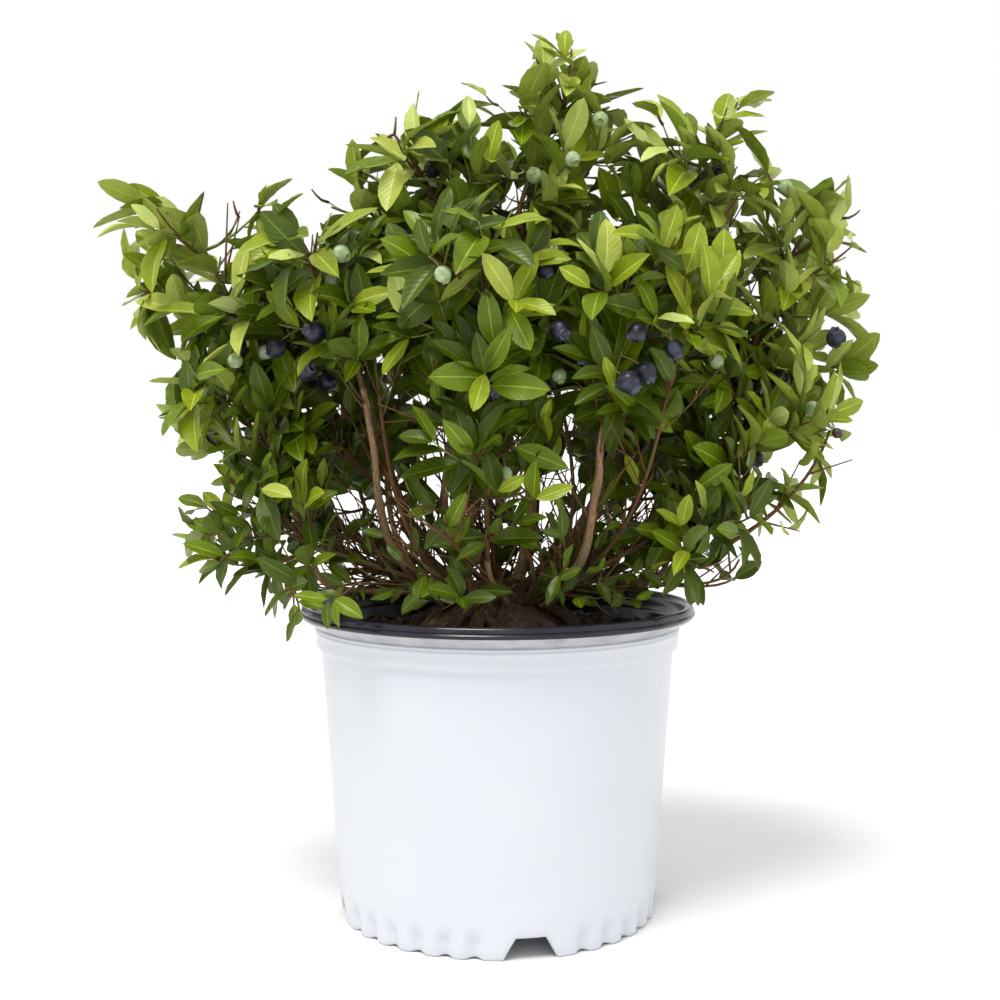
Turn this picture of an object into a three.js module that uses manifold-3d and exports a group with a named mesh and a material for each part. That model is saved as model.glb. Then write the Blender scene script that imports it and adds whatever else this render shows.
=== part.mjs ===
// A blueberry bush in a round nursery pot, in millimetres, +Z up, standing on z = 0.
// The pot is full of potting mix. A woody root crown sits on the mix, stems rise from it, and boughs
// fork from some of them. Each stem or bough ends where it enters a mass of foliage, which is one
// fused solid of twigs, leaves and berries, grown by a seeded rule inside a space of its own.

import * as THREE from "three";
import { mergeVertices } from "three/addons/utils/BufferGeometryUtils.js";
import Module from "manifold-3d";

const wasm = await Module();
wasm.setup();

// ---------------------------------------------------------------- driving dimensions

const GAP = 0.3; // clearance between two pieces that touch
const RIM_RADIUS = 125;
const POT_HEIGHT = 197;
const SOIL_TOP = 182;

const pot = {
  segments: 32,
  skin: 1.6, // thickness of the moulding
  padRadius: 42, // flat pad in the middle of the underside, level with the foot
  channelRadius: 52, // from here to the foot ring the underside is raised
  channelHeight: 14,
  footInner: 95,
  footSlant: 1, // how much narrower the foot ring's inside is at the channel
  footOuter: 98.6,
  bevel: 1.6, // height of the bevel at the foot
  wallFoot: 99.7, // outer radius just above the bevel
  wallRise: 1, // how much wider the wall is at the level of the floor
  wallHead: 111.3, // outer radius under the step
  wallTop: 168.5,
  collarRadius: 114.4,
  collarFoot: 171,
  collarTop: 183,
  collarFlare: 0.4, // how much wider the collar is at its top
  step: 1, // how much lower the step is on the inside than under the collar
  lipEdge: 191.5, // height of the lip's outer edge
  lipRound: 1.6, // how far inwards the lip is rounded off, below the edge and above it
  lipFall: 2, // how far the lip falls, below its edge and from its crest to the inside
  lipCrown: 0.6, // how much lower the rounded top is at its outer end
  lipCrest: 121.5, // radius of the lip's highest ring
  lipInner: 117.6,
  lipRoot: 3, // height above the collar where the lip's inside begins
  notches: 4, // drain notches, wider at the foot than at the top
  firstNotch: -78.6, // degrees from +X
  notchTop: 18,
  notchFoot: 33,
  notchHeight: 13,
  notchReach: 8, // how far inside the foot ring the notch's cutter starts
  notchCut: 20, // and its length
  flutes: 6, // shallow flutes between two notches
  flutePitch: 10.3, // degrees
  fluteDepth: 2,
  fluteHeight: 14,
  fluteRadius: 10,
  fluteSides: 8,
  under: 0.5, // how far the cutters reach below the foot
  soilRise: 0.6, // how much wider the mix is at its foot than the wall's foot
  soilFlat: 67, // the mix is level inside this radius
  soilBrim: 84, // where it starts to fall to the wall
  soilCamber: 2, // how much lower it is there
  soilDip: 6, // and at the wall
};

// The woody crown: half its length and width, and its height.
const crown = {
  length: 55,
  width: 44,
  height: 27,
  sides: 20,
  knobs: [
    { count: 5, size: 0.091, turn: 0.8 }, // waves round the outline
    { count: 3, size: 0.065, turn: -1 },
  ],
  bumps: 0.16, // waves of the top
  bumpLength: 13,
  bumpWidth: 17,
};

const limb = {
  sides: 5,
  steps: 6,
  sink: 0.72, // how far below its mass's middle a limb ends, as a share of the half-height
  inward: 0.42, // and how far towards the woody crown, as a share of the half-width
  tuck: 0.62, // where a stem's root lies between the woody crown's middle and its edge
  root: [1.05, 0.75], // a root's height at the middle, and what it loses out to the edge
  rise: 0.55, // how steeply a stem leaves
  steeper: 3, // how much steeper it leaves the nearer its root is to the middle
  arrive: 0.25, // how much a stem still leans outwards where it ends
  stemPulls: [0.4, 0.36], // handles of a stem's curve, as shares of its span
  fork: 1.1, // how far a bough turns from its stem towards its end
  boughPulls: [0.36, 0.3],
};

// The stem of a mass is a three-sided twig. Its crest lies above the mass's middle and outwards.
const core = { radii: [2.1, 1.5], steps: 3, above: 0.5, out: 0.15, bend: 0.45, bare: 0.35 };

// Side shoots stand along that stem, the lower ones pointing down and the upper ones up.
const shoots = {
  count: 7,
  radii: [1.4, 1.1],
  first: 0.06, // the lowest place along the stem, and the length of stem that they share
  stretch: 0.84,
  slope: -0.7, // the lowest slope, and how much it gains up to the highest
  climb: 1.6,
  slopeSpread: 0.2,
  turnSpread: 0.3,
  free: 0.7, // room that a shoot leaves beyond its tip, in leaf lengths
  shortest: 8,
  bare: 0.3, // share of the shoot below its first leaf
};

// A leaf is a blade with its edges above a keel and its tip drooping.
const leaf = {
  length: 57,
  width: 25,
  fold: 1.7,
  keel: 0.6,
  droop: 4.5,
  belly: 0.42, // where the blade is widest
  sunk: 0.3,
  pitch: 13, // distance between the leaves of a shoot
  last: 0.9, // place of the last of them; the two at the tip stand further out and lean less
  tips: [
    { place: 0.94, lean: 0.75 },
    { place: 0.98, lean: 0.5 },
  ],
  lean: 1,
  stemLean: 1.2, // for a leaf that stands on the stem in place of a shoot
  turnSpread: 0.5,
  upward: 0.1,
  tries: 6, // directions that a leaf tries before it is skipped, each leaning a little more
  leanStep: 0.1,
  face: [0.8, 0.75], // how much the upper side faces outwards and upwards
  faceSpread: [0.6, 0.6, 0.3],
  scale: 0.96, // the usual size, its spread, and the smallest size
  scaleSpread: 0.1,
  smallest: 0.66,
  fill: 0.97, // how much of the room ahead a leaf may take up
};

const berry = { radius: 6.3, drop: 9, place: 0.55, hang: [0.5, -0.6, -1], clasp: 0.6, stalk: [1, 0.9] };
const REACH = 140; // no shoot or leaf looks further ahead than this
const STRIDE = 2; // the steps in which it looks
const CLEARANCE = { rim: 3, side: 4 }; // of the foliage above the pot's rim and beside it
const FIRST_SEED = 11; // of the masses, which take one seed each
const SMOOTH = 0.04; // detail below this is dropped from a fused mass
const WELD = 1e-4; // vertices closer together than this are one
const TOUCH = 0.05; // volume that two neighbours in a mass may share, in cubic millimetres
const GOLDEN = THREE.MathUtils.degToRad(137.50776);
const UP = new THREE.Vector3(0, 0, 1);

// Masses of foliage: the middle and the half-sizes of the space that each fills, and its berries.
const masses = {
  top_centre: { at: [38, 7, 481], size: [67, 67, 75], berries: 1 },
  top_left: { at: [-53, -10, 454], size: [73, 69, 69] },
  top_right: { at: [127, -5, 452], size: [69, 69, 73] },
  top_back: { at: [2, 89, 438], size: [85, 69, 69] },
  left_shoulder: { at: [-188, -5, 407], size: [69, 73, 67] },
  right_shoulder: { at: [190, 3, 405], size: [69, 73, 69], berries: 1 },
  upper_left: { at: [-107, -51, 383], size: [67, 65, 71], berries: 3 },
  front_centre: { at: [-9, -90, 378], size: [73, 63, 71], berries: 1 },
  front_right: { at: [85, -83, 369], size: [67, 67, 71], berries: 3 },
  back_left: { at: [-111, 93, 386], size: [75, 71, 73] },
  back_right: { at: [115, 95, 387], size: [75, 71, 73], berries: 1 },
  back_centre: { at: [2, 143, 351], size: [71, 65, 71], berries: 1 },
  left_flank: { at: [-161, -18, 313], size: [71, 75, 63] },
  right_flank: { at: [163, -10, 313], size: [73, 75, 65] },
  heart: { at: [3, 7, 375], size: [71, 71, 69] },
  left_low: { at: [-142, -33, 239], size: [69, 75, 61] },
  right_low: { at: [134, -26, 236], size: [69, 73, 57] },
  back_low_left: { at: [-98, 101, 270], size: [71, 71, 65] },
  back_low_right: { at: [100, 101, 270], size: [71, 71, 65] },
  front_shoots: { at: [-9, -80, 276], size: [61, 49, 65] },
};

// Limbs: the mass that each ends in, its radius at both ends, the limb that it forks from, if any,
// with the place of the fork along that limb, and the turn of its root round the woody crown.
const limbs = {
  stem_left: { to: "upper_left", radii: [4.6, 2.4], turn: 196 },
  stem_right: { to: "front_right", radii: [4.5, 2.4], turn: -36 },
  stem_left_low: { to: "left_low", radii: [3.7, 2.2], turn: 178, sink: 0.25 },
  stem_right_low: { to: "right_low", radii: [3.7, 2.2], turn: -6, sink: 0.2 },
  stem_left_flank: { to: "left_flank", radii: [4.8, 2.5], turn: 158 },
  stem_right_flank: { to: "right_flank", radii: [4.8, 2.5], turn: 16 },
  stem_back_left: { to: "back_left", radii: [5.2, 2.6], turn: 132 },
  stem_back_right: { to: "back_right", radii: [5.2, 2.6], turn: 46 },
  stem_back: { to: "back_centre", radii: [4.4, 2.4], turn: 90 },
  stem_front: { to: "front_centre", radii: [3.9, 2.2], turn: -112 },
  stem_top_left: { to: "top_left", radii: [4.3, 2.3], turn: 142, tuck: 0.4 },
  stem_top: { to: "top_centre", radii: [4.5, 2.4], turn: 52, tuck: 0.3 },
  stem_top_right: { to: "top_right", radii: [4.3, 2.3], turn: 8, tuck: 0.42 },
  shoot_front: { to: "front_shoots", radii: [2.9, 2], turn: -82 },
  bough_left: { to: "left_shoulder", radii: [3.2, 2.2], from: "stem_left_flank", fork: 0.62 },
  bough_right: { to: "right_shoulder", radii: [3.2, 2.2], from: "stem_right_flank", fork: 0.62 },
  bough_heart: { to: "heart", radii: [3, 2.1], from: "stem_top", fork: 0.3 },
  bough_top_back: { to: "top_back", radii: [3.2, 2.2], from: "stem_back", fork: 0.5 },
  bough_back_left: { to: "back_low_left", radii: [3.1, 2.1], from: "stem_back_left", fork: 0.3 },
  bough_back_right: { to: "back_low_right", radii: [3.1, 2.1], from: "stem_back_right", fork: 0.3 },
};

const paint = {
  pot: { color: "#f4f5f7", roughness: 0.38 },
  potting_mix: { color: "#2a1f18", roughness: 0.95 },
  bark: { color: "#7a5238", roughness: 0.85 },
  foliage: { color: "#4d7a2c", roughness: 0.5 },
};

// ---------------------------------------------------------------- solids and meshes

function solid(geometry) {
  const bare = geometry.index ? geometry.toNonIndexed() : geometry;
  bare.deleteAttribute("normal");
  bare.deleteAttribute("uv");
  const merged = mergeVertices(bare, WELD);
  const vertProperties = new Float32Array(merged.attributes.position.array);
  const triVerts = new Uint32Array(merged.index.array);
  return new wasm.Manifold(new wasm.Mesh({ numProp: 3, vertProperties, triVerts }));
}

function meshOf(body, name, look) {
  const data = body.getMesh();
  const geometry = new THREE.BufferGeometry();
  geometry.setAttribute("position", new THREE.BufferAttribute(data.vertProperties, 3));
  geometry.setIndex(new THREE.BufferAttribute(data.triVerts, 1));
  geometry.computeVertexNormals();
  const mesh = new THREE.Mesh(geometry, new THREE.MeshStandardMaterial(look));
  mesh.name = name;
  return mesh;
}

// Moves every vertex of a geometry to the place that a function gives for it.
function reshape(geometry, place) {
  const position = geometry.attributes.position;
  const point = new THREE.Vector3();
  for (let i = 0; i < position.count; i += 1) {
    place(point.fromBufferAttribute(position, i));
    position.setXYZ(i, point.x, point.y, point.z);
  }
  return geometry;
}

// A round profile of [radius, height] pairs, turned about the Z axis.
function turned(profile, segments) {
  const points = profile.map(([radius, height]) => new THREE.Vector2(radius, height));
  return new THREE.LatheGeometry(points, segments).rotateX(Math.PI / 2);
}

// A tapering tube with closed ends along a curve.
function taper(curve, radii, sides, steps) {
  const { normals, binormals } = curve.computeFrenetFrames(steps, false);
  const tube = new THREE.CylinderGeometry(radii[1], radii[0], 1, sides, steps);
  return reshape(tube, (point) => {
    const share = point.y + 0.5;
    const step = Math.round(share * steps);
    const { x, z } = point;
    curve.getPointAt(THREE.MathUtils.clamp(share, 0, 1), point);
    point.addScaledVector(normals[step], x).addScaledVector(binormals[step], -z);
  });
}

// ---------------------------------------------------------------- pot and potting mix

function potProfile() {
  const { skin } = pot;
  return [
    [0, 0],
    [pot.padRadius, 0],
    [pot.channelRadius, pot.channelHeight],
    [pot.footInner - pot.footSlant, pot.channelHeight],
    [pot.footInner, 0],
    [pot.footOuter, 0],
    [pot.wallFoot, pot.bevel],
    [pot.wallHead, pot.wallTop],
    [pot.collarRadius, pot.collarFoot],
    [pot.collarRadius + pot.collarFlare, pot.collarTop],
    [RIM_RADIUS - pot.lipRound, pot.lipEdge - pot.lipFall],
    [RIM_RADIUS, pot.lipEdge],
    [pot.lipCrest + pot.lipRound, POT_HEIGHT - pot.lipCrown],
    [pot.lipCrest, POT_HEIGHT],
    [pot.lipInner, POT_HEIGHT - pot.lipFall],
    [pot.collarRadius - skin, pot.collarTop + pot.lipRoot],
    [pot.collarRadius - skin, pot.collarFoot],
    [pot.wallHead - skin, pot.wallTop - pot.step],
    [pot.wallFoot + pot.wallRise - skin, pot.channelHeight + skin],
    [pot.channelRadius - skin, pot.channelHeight + skin],
    [pot.padRadius - skin, skin],
    [0, skin],
  ];
}

// A wide drain notch, cut through the foot ring.
function notchCutter() {
  const gate = new THREE.Shape();
  gate.moveTo(-pot.notchFoot / 2, -pot.under);
  gate.lineTo(pot.notchFoot / 2, -pot.under);
  gate.lineTo(pot.notchTop / 2, pot.notchHeight);
  gate.lineTo(-pot.notchTop / 2, pot.notchHeight);
  const notch = new THREE.ExtrudeGeometry(gate, { depth: pot.notchCut, bevelEnabled: false });
  notch.rotateX(Math.PI / 2).rotateZ(Math.PI / 2);
  return notch.translate(pot.footInner - pot.notchReach, 0, 0);
}

// A shallow flute with a flat bottom: one side of an upright prism dips into the wall.
function fluteCutter() {
  const { fluteRadius: radius, fluteSides: sides, fluteHeight: height } = pot;
  const flute = new THREE.CylinderGeometry(radius, radius, height + pot.under, sides);
  flute.rotateX(Math.PI / 2).rotateZ(Math.PI / sides);
  const reach = pot.wallFoot + radius * Math.cos(Math.PI / sides) - pot.fluteDepth;
  return flute.translate(reach, 0, (height - pot.under) / 2);
}

// Cutters round the foot: drain notches, and a row of flutes midway between two of them.
function footCutters() {
  const cutters = [];
  const quarter = 360 / pot.notches;
  for (let i = 0; i < pot.notches; i += 1) {
    const turn = pot.firstNotch + i * quarter;
    cutters.push(solid(notchCutter().rotateZ(THREE.MathUtils.degToRad(turn))));
    for (let k = 0; k < pot.flutes; k += 1) {
      const away = quarter / 2 + (k - (pot.flutes - 1) / 2) * pot.flutePitch;
      cutters.push(solid(fluteCutter().rotateZ(THREE.MathUtils.degToRad(turn + away))));
    }
  }
  return wasm.Manifold.union(cutters);
}

function makePot() {
  return solid(turned(potProfile(), pot.segments)).subtract(footCutters());
}

function makePottingMix() {
  const inside = pot.skin + GAP;
  const profile = [
    [0, inside],
    [pot.padRadius - inside, inside],
    [pot.channelRadius - inside, pot.channelHeight + inside],
    [pot.wallFoot + pot.soilRise - inside, pot.channelHeight + inside],
    [pot.wallHead - inside, pot.wallTop - pot.step],
    [pot.collarRadius - pot.collarFlare - inside, pot.collarFoot],
    [pot.collarRadius - pot.collarFlare - inside, SOIL_TOP - pot.soilDip],
    [pot.soilBrim, SOIL_TOP - pot.soilCamber],
    [pot.soilFlat, SOIL_TOP],
    [0, SOIL_TOP],
  ];
  return solid(turned(profile, pot.segments / 2));
}

// ---------------------------------------------------------------- woody crown and limbs

// A low gnarled dome with a flared foot, cut flat where it meets the mix.
function woodyCrown(grow = 0) {
  const outline = [
    [0, 0],
    [1.08, 0],
    [0.97, 0.16],
    [0.9, 0.4],
    [0.72, 0.72],
    [0.4, 0.94],
    [0, 1],
  ];
  return reshape(turned(outline, crown.sides), (point) => {
    const turn = Math.atan2(point.y, point.x);
    const swell = (sum, knob) => sum + knob.size * Math.sin(knob.count * turn + knob.turn);
    const around = crown.knobs.reduce(swell, 1);
    point.x = point.x * crown.length * around + Math.cos(turn) * grow;
    point.y = point.y * crown.width * around + Math.sin(turn) * grow;
    const bump = Math.sin(point.x / crown.bumpLength) * Math.cos(point.y / crown.bumpWidth);
    const height = crown.height * (1 + crown.bumps * bump) + grow;
    point.z = SOIL_TOP + GAP + point.z * height;
  });
}

// Where a limb's tip meets its mass: low on the side of the mass that faces the woody crown.
function entry(mass, sink = limb.sink) {
  const [x, y, z] = mass.at;
  const pull = limb.inward / Math.hypot(x, y);
  const [long, wide, high] = mass.size;
  return new THREE.Vector3(x - x * pull * long, y - y * pull * wide, z - sink * high);
}

// A stem leaves the woody crown outwards, sags, and turns up into its mass.
function stemCurve({ to, turn, tuck = limb.tuck, sink }) {
  const angle = THREE.MathUtils.degToRad(turn);
  const out = new THREE.Vector3(Math.cos(angle), Math.sin(angle), 0);
  const start = new THREE.Vector3(out.x * crown.length * tuck, out.y * crown.width * tuck, 0);
  start.z = SOIL_TOP + crown.height * (limb.root[0] - limb.root[1] * tuck);
  const end = entry(masses[to], sink);
  const span = start.distanceTo(end);
  const leave = out.clone().addScaledVector(UP, limb.rise + (limb.tuck - tuck) * limb.steeper);
  const arrive = UP.clone().addScaledVector(out, limb.arrive).normalize();
  return new THREE.CubicBezierCurve3(
    start,
    start.clone().addScaledVector(leave.normalize(), span * limb.stemPulls[0]),
    end.clone().addScaledVector(arrive, -span * limb.stemPulls[1]),
    end,
  );
}

// A bough leaves its stem at a narrow angle and turns up into its mass.
function boughCurve({ to, from, fork }) {
  const parent = curves[from];
  const start = parent.getPointAt(fork);
  const end = entry(masses[to]);
  const span = start.distanceTo(end);
  const ahead = end.clone().sub(start).normalize();
  const leave = parent.getTangentAt(fork).addScaledVector(ahead, limb.fork);
  const arrive = UP.clone().add(ahead);
  return new THREE.CubicBezierCurve3(
    start,
    start.clone().addScaledVector(leave.normalize(), span * limb.boughPulls[0]),
    end.clone().addScaledVector(arrive.normalize(), -span * limb.boughPulls[1]),
    end,
  );
}

const curves = {};
for (const [name, part] of Object.entries(limbs)) {
  curves[name] = part.from ? boughCurve(part) : stemCurve(part);
}

function limbBody(name, grow = 0) {
  const { radii } = limbs[name];
  return solid(taper(curves[name], [radii[0] + grow, radii[1] + grow], limb.sides, limb.steps));
}

function makeLimb(name) {
  const { from } = limbs[name];
  const carrier = from ? limbBody(from, GAP) : solid(woodyCrown(GAP));
  return biggest(limbBody(name).subtract(carrier));
}

// The largest connected piece of a body, which drops loose scraps and fills sealed hollows.
function biggest(body) {
  const pieces = body.decompose();
  return pieces.reduce((best, piece) => (piece.volume() > best.volume() ? piece : best));
}

// ---------------------------------------------------------------- foliage

function seededRandom(seed) {
  let state = seed >>> 0;
  return () => {
    state = (Math.imul(state, 1664525) + 1013904223) >>> 0;
    return state / 4294967296;
  };
}

// A mass's space is an ellipsoid, cut by the planes that part it from the neighbouring masses.
function spaceOf(name) {
  const { at, size } = masses[name];
  const middle = new THREE.Vector3(...at);
  const mean = ([long, wide, high]) => (long + wide + high) / 3;
  const planes = [];
  for (const [other, { at: place, size: extent }] of Object.entries(masses)) {
    if (other !== name) {
      const apart = new THREE.Vector3(...place).sub(middle);
      const span = apart.length();
      const offset = (span ** 2 + mean(size) ** 2 - mean(extent) ** 2) / (2 * span) - GAP;
      if (offset < Math.max(...size)) {
        planes.push({ normal: apart.normalize(), offset });
      }
    }
  }
  return (point) => {
    const p = point.clone().sub(middle);
    const inside = (p.x / size[0]) ** 2 + (p.y / size[1]) ** 2 + (p.z / size[2]) ** 2 < 1;
    const above = point.z > POT_HEIGHT + CLEARANCE.rim;
    const beside = Math.hypot(point.x, point.y) > RIM_RADIUS + CLEARANCE.side;
    const within = planes.every(({ normal, offset }) => p.dot(normal) < offset);
    return inside && within && (above || beside);
  };
}

// The smallest sphere, three sides and two steps, drawn out to a leaf: its poles become the leaf's
// base and tip, and the triangle between them the two edges and the keel.
function leafBlade(root, along, face, scale) {
  const side = new THREE.Vector3().crossVectors(along, face).normalize();
  const over = new THREE.Vector3().crossVectors(side, along).normalize();
  const length = leaf.length * scale;
  const spots = {
    base: { share: 0, lift: 0 },
    keel: { share: leaf.belly, lift: -leaf.keel },
    edge: { share: leaf.belly, lift: leaf.fold },
    tip: { share: 1, lift: -leaf.droop * scale },
  };
  return reshape(new THREE.SphereGeometry(1, 3, 2), (point) => {
    const across = -Math.sign(Math.round(point.z));
    const pole = point.y < 0 ? "base" : "tip";
    const belly = point.x > 0 ? "edge" : "keel";
    const { share, lift } = spots[Math.abs(point.y) < 0.5 ? belly : pole];
    point.copy(root).addScaledVector(along, share * (length + leaf.sunk) - leaf.sunk);
    point.addScaledVector(side, (across * leaf.width * scale) / 2);
    point.addScaledVector(over, lift);
  });
}

function everyVertex(geometry, test) {
  const point = new THREE.Vector3();
  const { position } = geometry.attributes;
  for (let i = 0; i < position.count; i += 1) {
    if (!test(point.fromBufferAttribute(position, i))) {
      return false;
    }
  }
  return true;
}

// How far a straight line from a point stays inside a space.
function reachOf(inside, from, along) {
  const probe = new THREE.Vector3();
  let reach = 0;
  while (reach < REACH && inside(probe.copy(from).addScaledVector(along, reach + STRIDE))) {
    reach += STRIDE;
  }
  return reach;
}

// The stem of a mass goes on from the bough's tip and bends up to a crest.
function coreCurve(mass, bough) {
  const middle = new THREE.Vector3(...mass.at);
  const heading = bough.getTangentAt(1);
  const start = bough.getPointAt(1).addScaledVector(heading, GAP);
  const crest = middle.clone().addScaledVector(UP, mass.size[2] * core.above);
  crest.addScaledVector(middle.setZ(0).normalize(), mass.size[0] * core.out);
  const bend = start.clone().addScaledVector(heading, start.distanceTo(crest) * core.bend);
  return new THREE.QuadraticBezierCurve3(start, bend, crest);
}

// A side shoot on the stem, as straight and as long as the space allows, or null.
function shootLine(stem, place, rank, turn, inside, spread) {
  const slope = shoots.slope + shoots.climb * rank + spread(shoots.slopeSpread);
  const along = new THREE.Vector3(Math.cos(turn), Math.sin(turn), slope).normalize();
  const base = stem.getPointAt(place);
  const length = reachOf(inside, base, along) - leaf.length * shoots.free;
  if (length <= shoots.shortest) {
    return null;
  }
  return new THREE.LineCurve3(base, base.clone().addScaledVector(along, length));
}

function makeMass(name, bough, obstacles) {
  const random = seededRandom(Object.keys(masses).indexOf(name) + FIRST_SEED);
  const spread = (amount) => (random() - 0.5) * 2 * amount;
  const inside = spaceOf(name);
  const pieces = [];
  let berriesLeft = masses[name].berries ?? 0;

  // Keeps a piece if it lies in the mass's space, clear of the limbs and of all but its carrier.
  const keep = (geometry, carrier) => {
    if (!everyVertex(geometry, inside)) {
      return null;
    }
    const body = solid(geometry);
    if (!body.intersect(obstacles).isEmpty()) {
      return null;
    }
    for (const other of pieces) {
      if (other !== carrier && body.intersect(other).volume() > TOUCH) {
        return null;
      }
    }
    pieces.push(body);
    return body;
  };

  // Grows a leaf from a place on a curve, in the first of several directions where it fits.
  const growLeaf = (curve, place, carrier, turn, lean) => {
    const root = curve.getPointAt(place);
    const tangent = curve.getTangentAt(place);
    const flat = new THREE.Vector3().crossVectors(tangent, UP).normalize();
    const upright = new THREE.Vector3().crossVectors(flat, tangent);
    for (let attempt = 0; attempt < leaf.tries; attempt += 1) {
      const angle = turn + attempt * GOLDEN;
      const around = flat.clone().multiplyScalar(Math.cos(angle)).addScaledVector(upright, Math.sin(angle));
      const along = tangent.clone().addScaledVector(around, lean + leaf.leanStep * attempt);
      along.addScaledVector(UP, leaf.upward).normalize();
      const face = root.clone().setZ(0).normalize().multiplyScalar(leaf.face[0]);
      face.addScaledVector(UP, leaf.face[1]).add(new THREE.Vector3(...leaf.faceSpread.map(spread)));
      const room = (reachOf(inside, root, along) * leaf.fill) / leaf.length;
      const scale = Math.min(leaf.scale + spread(leaf.scaleSpread), room);
      if (scale > leaf.smallest && keep(leafBlade(root, along, face, scale), carrier)) {
        return;
      }
    }
  };

  const growLeaves = (curve, carrier, bare) => {
    const count = Math.max(1, Math.round((curve.getLength() * (1 - bare)) / leaf.pitch));
    for (let i = 0; i < count; i += 1) {
      const place = bare + ((leaf.last - bare) * i) / count;
      growLeaf(curve, place, carrier, i * GOLDEN + spread(leaf.turnSpread), leaf.lean);
    }
    for (const { place, lean } of leaf.tips) {
      growLeaf(curve, place, carrier, spread(Math.PI), lean);
    }
  };

  const growBerry = (curve, carrier) => {
    const root = curve.getPointAt(berry.place);
    const [sway, forward, down] = berry.hang;
    const hang = new THREE.Vector3(spread(sway), forward, down).normalize();
    const end = root.clone().addScaledVector(hang, berry.drop);
    const ball = new THREE.IcosahedronGeometry(berry.radius, 0);
    ball.translate(...end.clone().addScaledVector(hang, berry.radius * berry.clasp).toArray());
    if (keep(ball, carrier)) {
      pieces.push(solid(taper(new THREE.LineCurve3(root, end), berry.stalk, 3, 1)));
      berriesLeft -= 1;
    }
  };

  const stem = coreCurve(masses[name], bough);
  const trunk = solid(taper(stem, core.radii, 3, core.steps));
  pieces.push(trunk);
  for (let k = 0; k < shoots.count; k += 1) {
    const rank = (k + 0.5) / shoots.count;
    const place = shoots.first + shoots.stretch * rank;
    const turn = k * GOLDEN + spread(shoots.turnSpread);
    const line = shootLine(stem, place, rank, turn, inside, spread);
    const shoot = line && keep(taper(line, shoots.radii, 3, 1), trunk);
    if (shoot) {
      if (berriesLeft > 0) {
        growBerry(line, shoot);
      }
      growLeaves(line, shoot, shoots.bare);
    } else if (!line) {
      growLeaf(stem, place, trunk, turn, leaf.stemLean);
    }
  }
  growLeaves(stem, trunk, core.bare);
  return biggest(wasm.Manifold.union(pieces).simplify(SMOOTH));
}

// ---------------------------------------------------------------- assembly

const group = new THREE.Group();
const wood = [solid(woodyCrown(GAP))];

group.add(meshOf(makePot(), "pot", paint.pot));
group.add(meshOf(makePottingMix(), "potting_mix", paint.potting_mix));
group.add(meshOf(solid(woodyCrown()), "woody_crown", paint.bark));

for (const name of Object.keys(limbs)) {
  group.add(meshOf(makeLimb(name), name, paint.bark));
  wood.push(limbBody(name, GAP));
}

const obstacles = wasm.Manifold.union(wood);
for (const [name, { to }] of Object.entries(limbs)) {
  group.add(meshOf(makeMass(to, curves[name], obstacles), `foliage_${to}`, paint.foliage));
}

export default group;
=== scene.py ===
"""A blueberry bush in a white nursery pot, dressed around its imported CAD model.

Sizes are in millimetres, in the frame of the part, and become metres where a mesh is made.
The masses, limbs and the rule by which they grow are those of the part's source, carried on to
finer twigs, real-sized leaves and all the fruit.
"""
import math
import random
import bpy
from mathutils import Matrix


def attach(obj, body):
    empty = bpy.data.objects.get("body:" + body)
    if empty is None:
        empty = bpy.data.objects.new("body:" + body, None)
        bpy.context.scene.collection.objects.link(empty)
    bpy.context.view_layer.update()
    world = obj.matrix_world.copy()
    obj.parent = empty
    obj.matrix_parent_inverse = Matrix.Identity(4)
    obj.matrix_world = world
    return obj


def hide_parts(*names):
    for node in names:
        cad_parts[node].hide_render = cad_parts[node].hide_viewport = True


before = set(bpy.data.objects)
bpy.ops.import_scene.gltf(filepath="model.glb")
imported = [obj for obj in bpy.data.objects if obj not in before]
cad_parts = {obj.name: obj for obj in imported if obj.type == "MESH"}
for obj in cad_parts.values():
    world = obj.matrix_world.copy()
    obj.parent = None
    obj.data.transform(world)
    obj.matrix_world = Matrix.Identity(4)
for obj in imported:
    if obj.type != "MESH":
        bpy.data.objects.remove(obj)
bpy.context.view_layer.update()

from types import SimpleNamespace as Sizes

import bpy
import numpy as np
from numpy.linalg import norm

MM = 0.001
BODY = "root"
UP = np.array([0.0, 0.0, 1.0])
TURN = 2 * math.pi
GOLDEN = math.radians(137.50776)
# Each part of the growth draws its own random numbers, from a seed of its own.
SEEDS = Sizes(mix=5, burls=12, canes=31, far=52, low=64, bare=77, berries=9, leaves=3, hang=8)

# ---------------- sizes shared with the source

RIM_RADIUS = 125
POT_HEIGHT = 197
SOIL_TOP = 182
GAP = 0.3

# The flutes are deeper and higher than the solid's, with round edges.
POT = Sizes(
    skin=1.6, pad=42, channel=52, channel_height=14, foot_inner=95,
    foot_outer=98.6, wall_foot=99.7, bevel=1.6, wall_head=111.3, wall_top=168.5,
    collar=114.4, collar_foot=171, collar_top=183, lip_edge=191.5,
    lip_crest=121.5, lip_inner=117.6,
    notches=4, first_notch=-78.6, notch_top=18, notch_foot=33, notch_height=13,
    flutes=6, flute_pitch=10.3, flute_depth=2.6, flute_height=16, flute_lift=1.3,
    flute_width=6, flute_fade=3,
)
NOTCH_PITCH = 360 / POT.notches
CROWN = Sizes(length=55, width=44, height=27, knobs=0.13, bumps=0.16,
              bump_length=13, bump_width=17)
LIMB = Sizes(sink=0.72, inward=0.42, rise=0.55, tuck=0.62, steeper=3)

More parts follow.
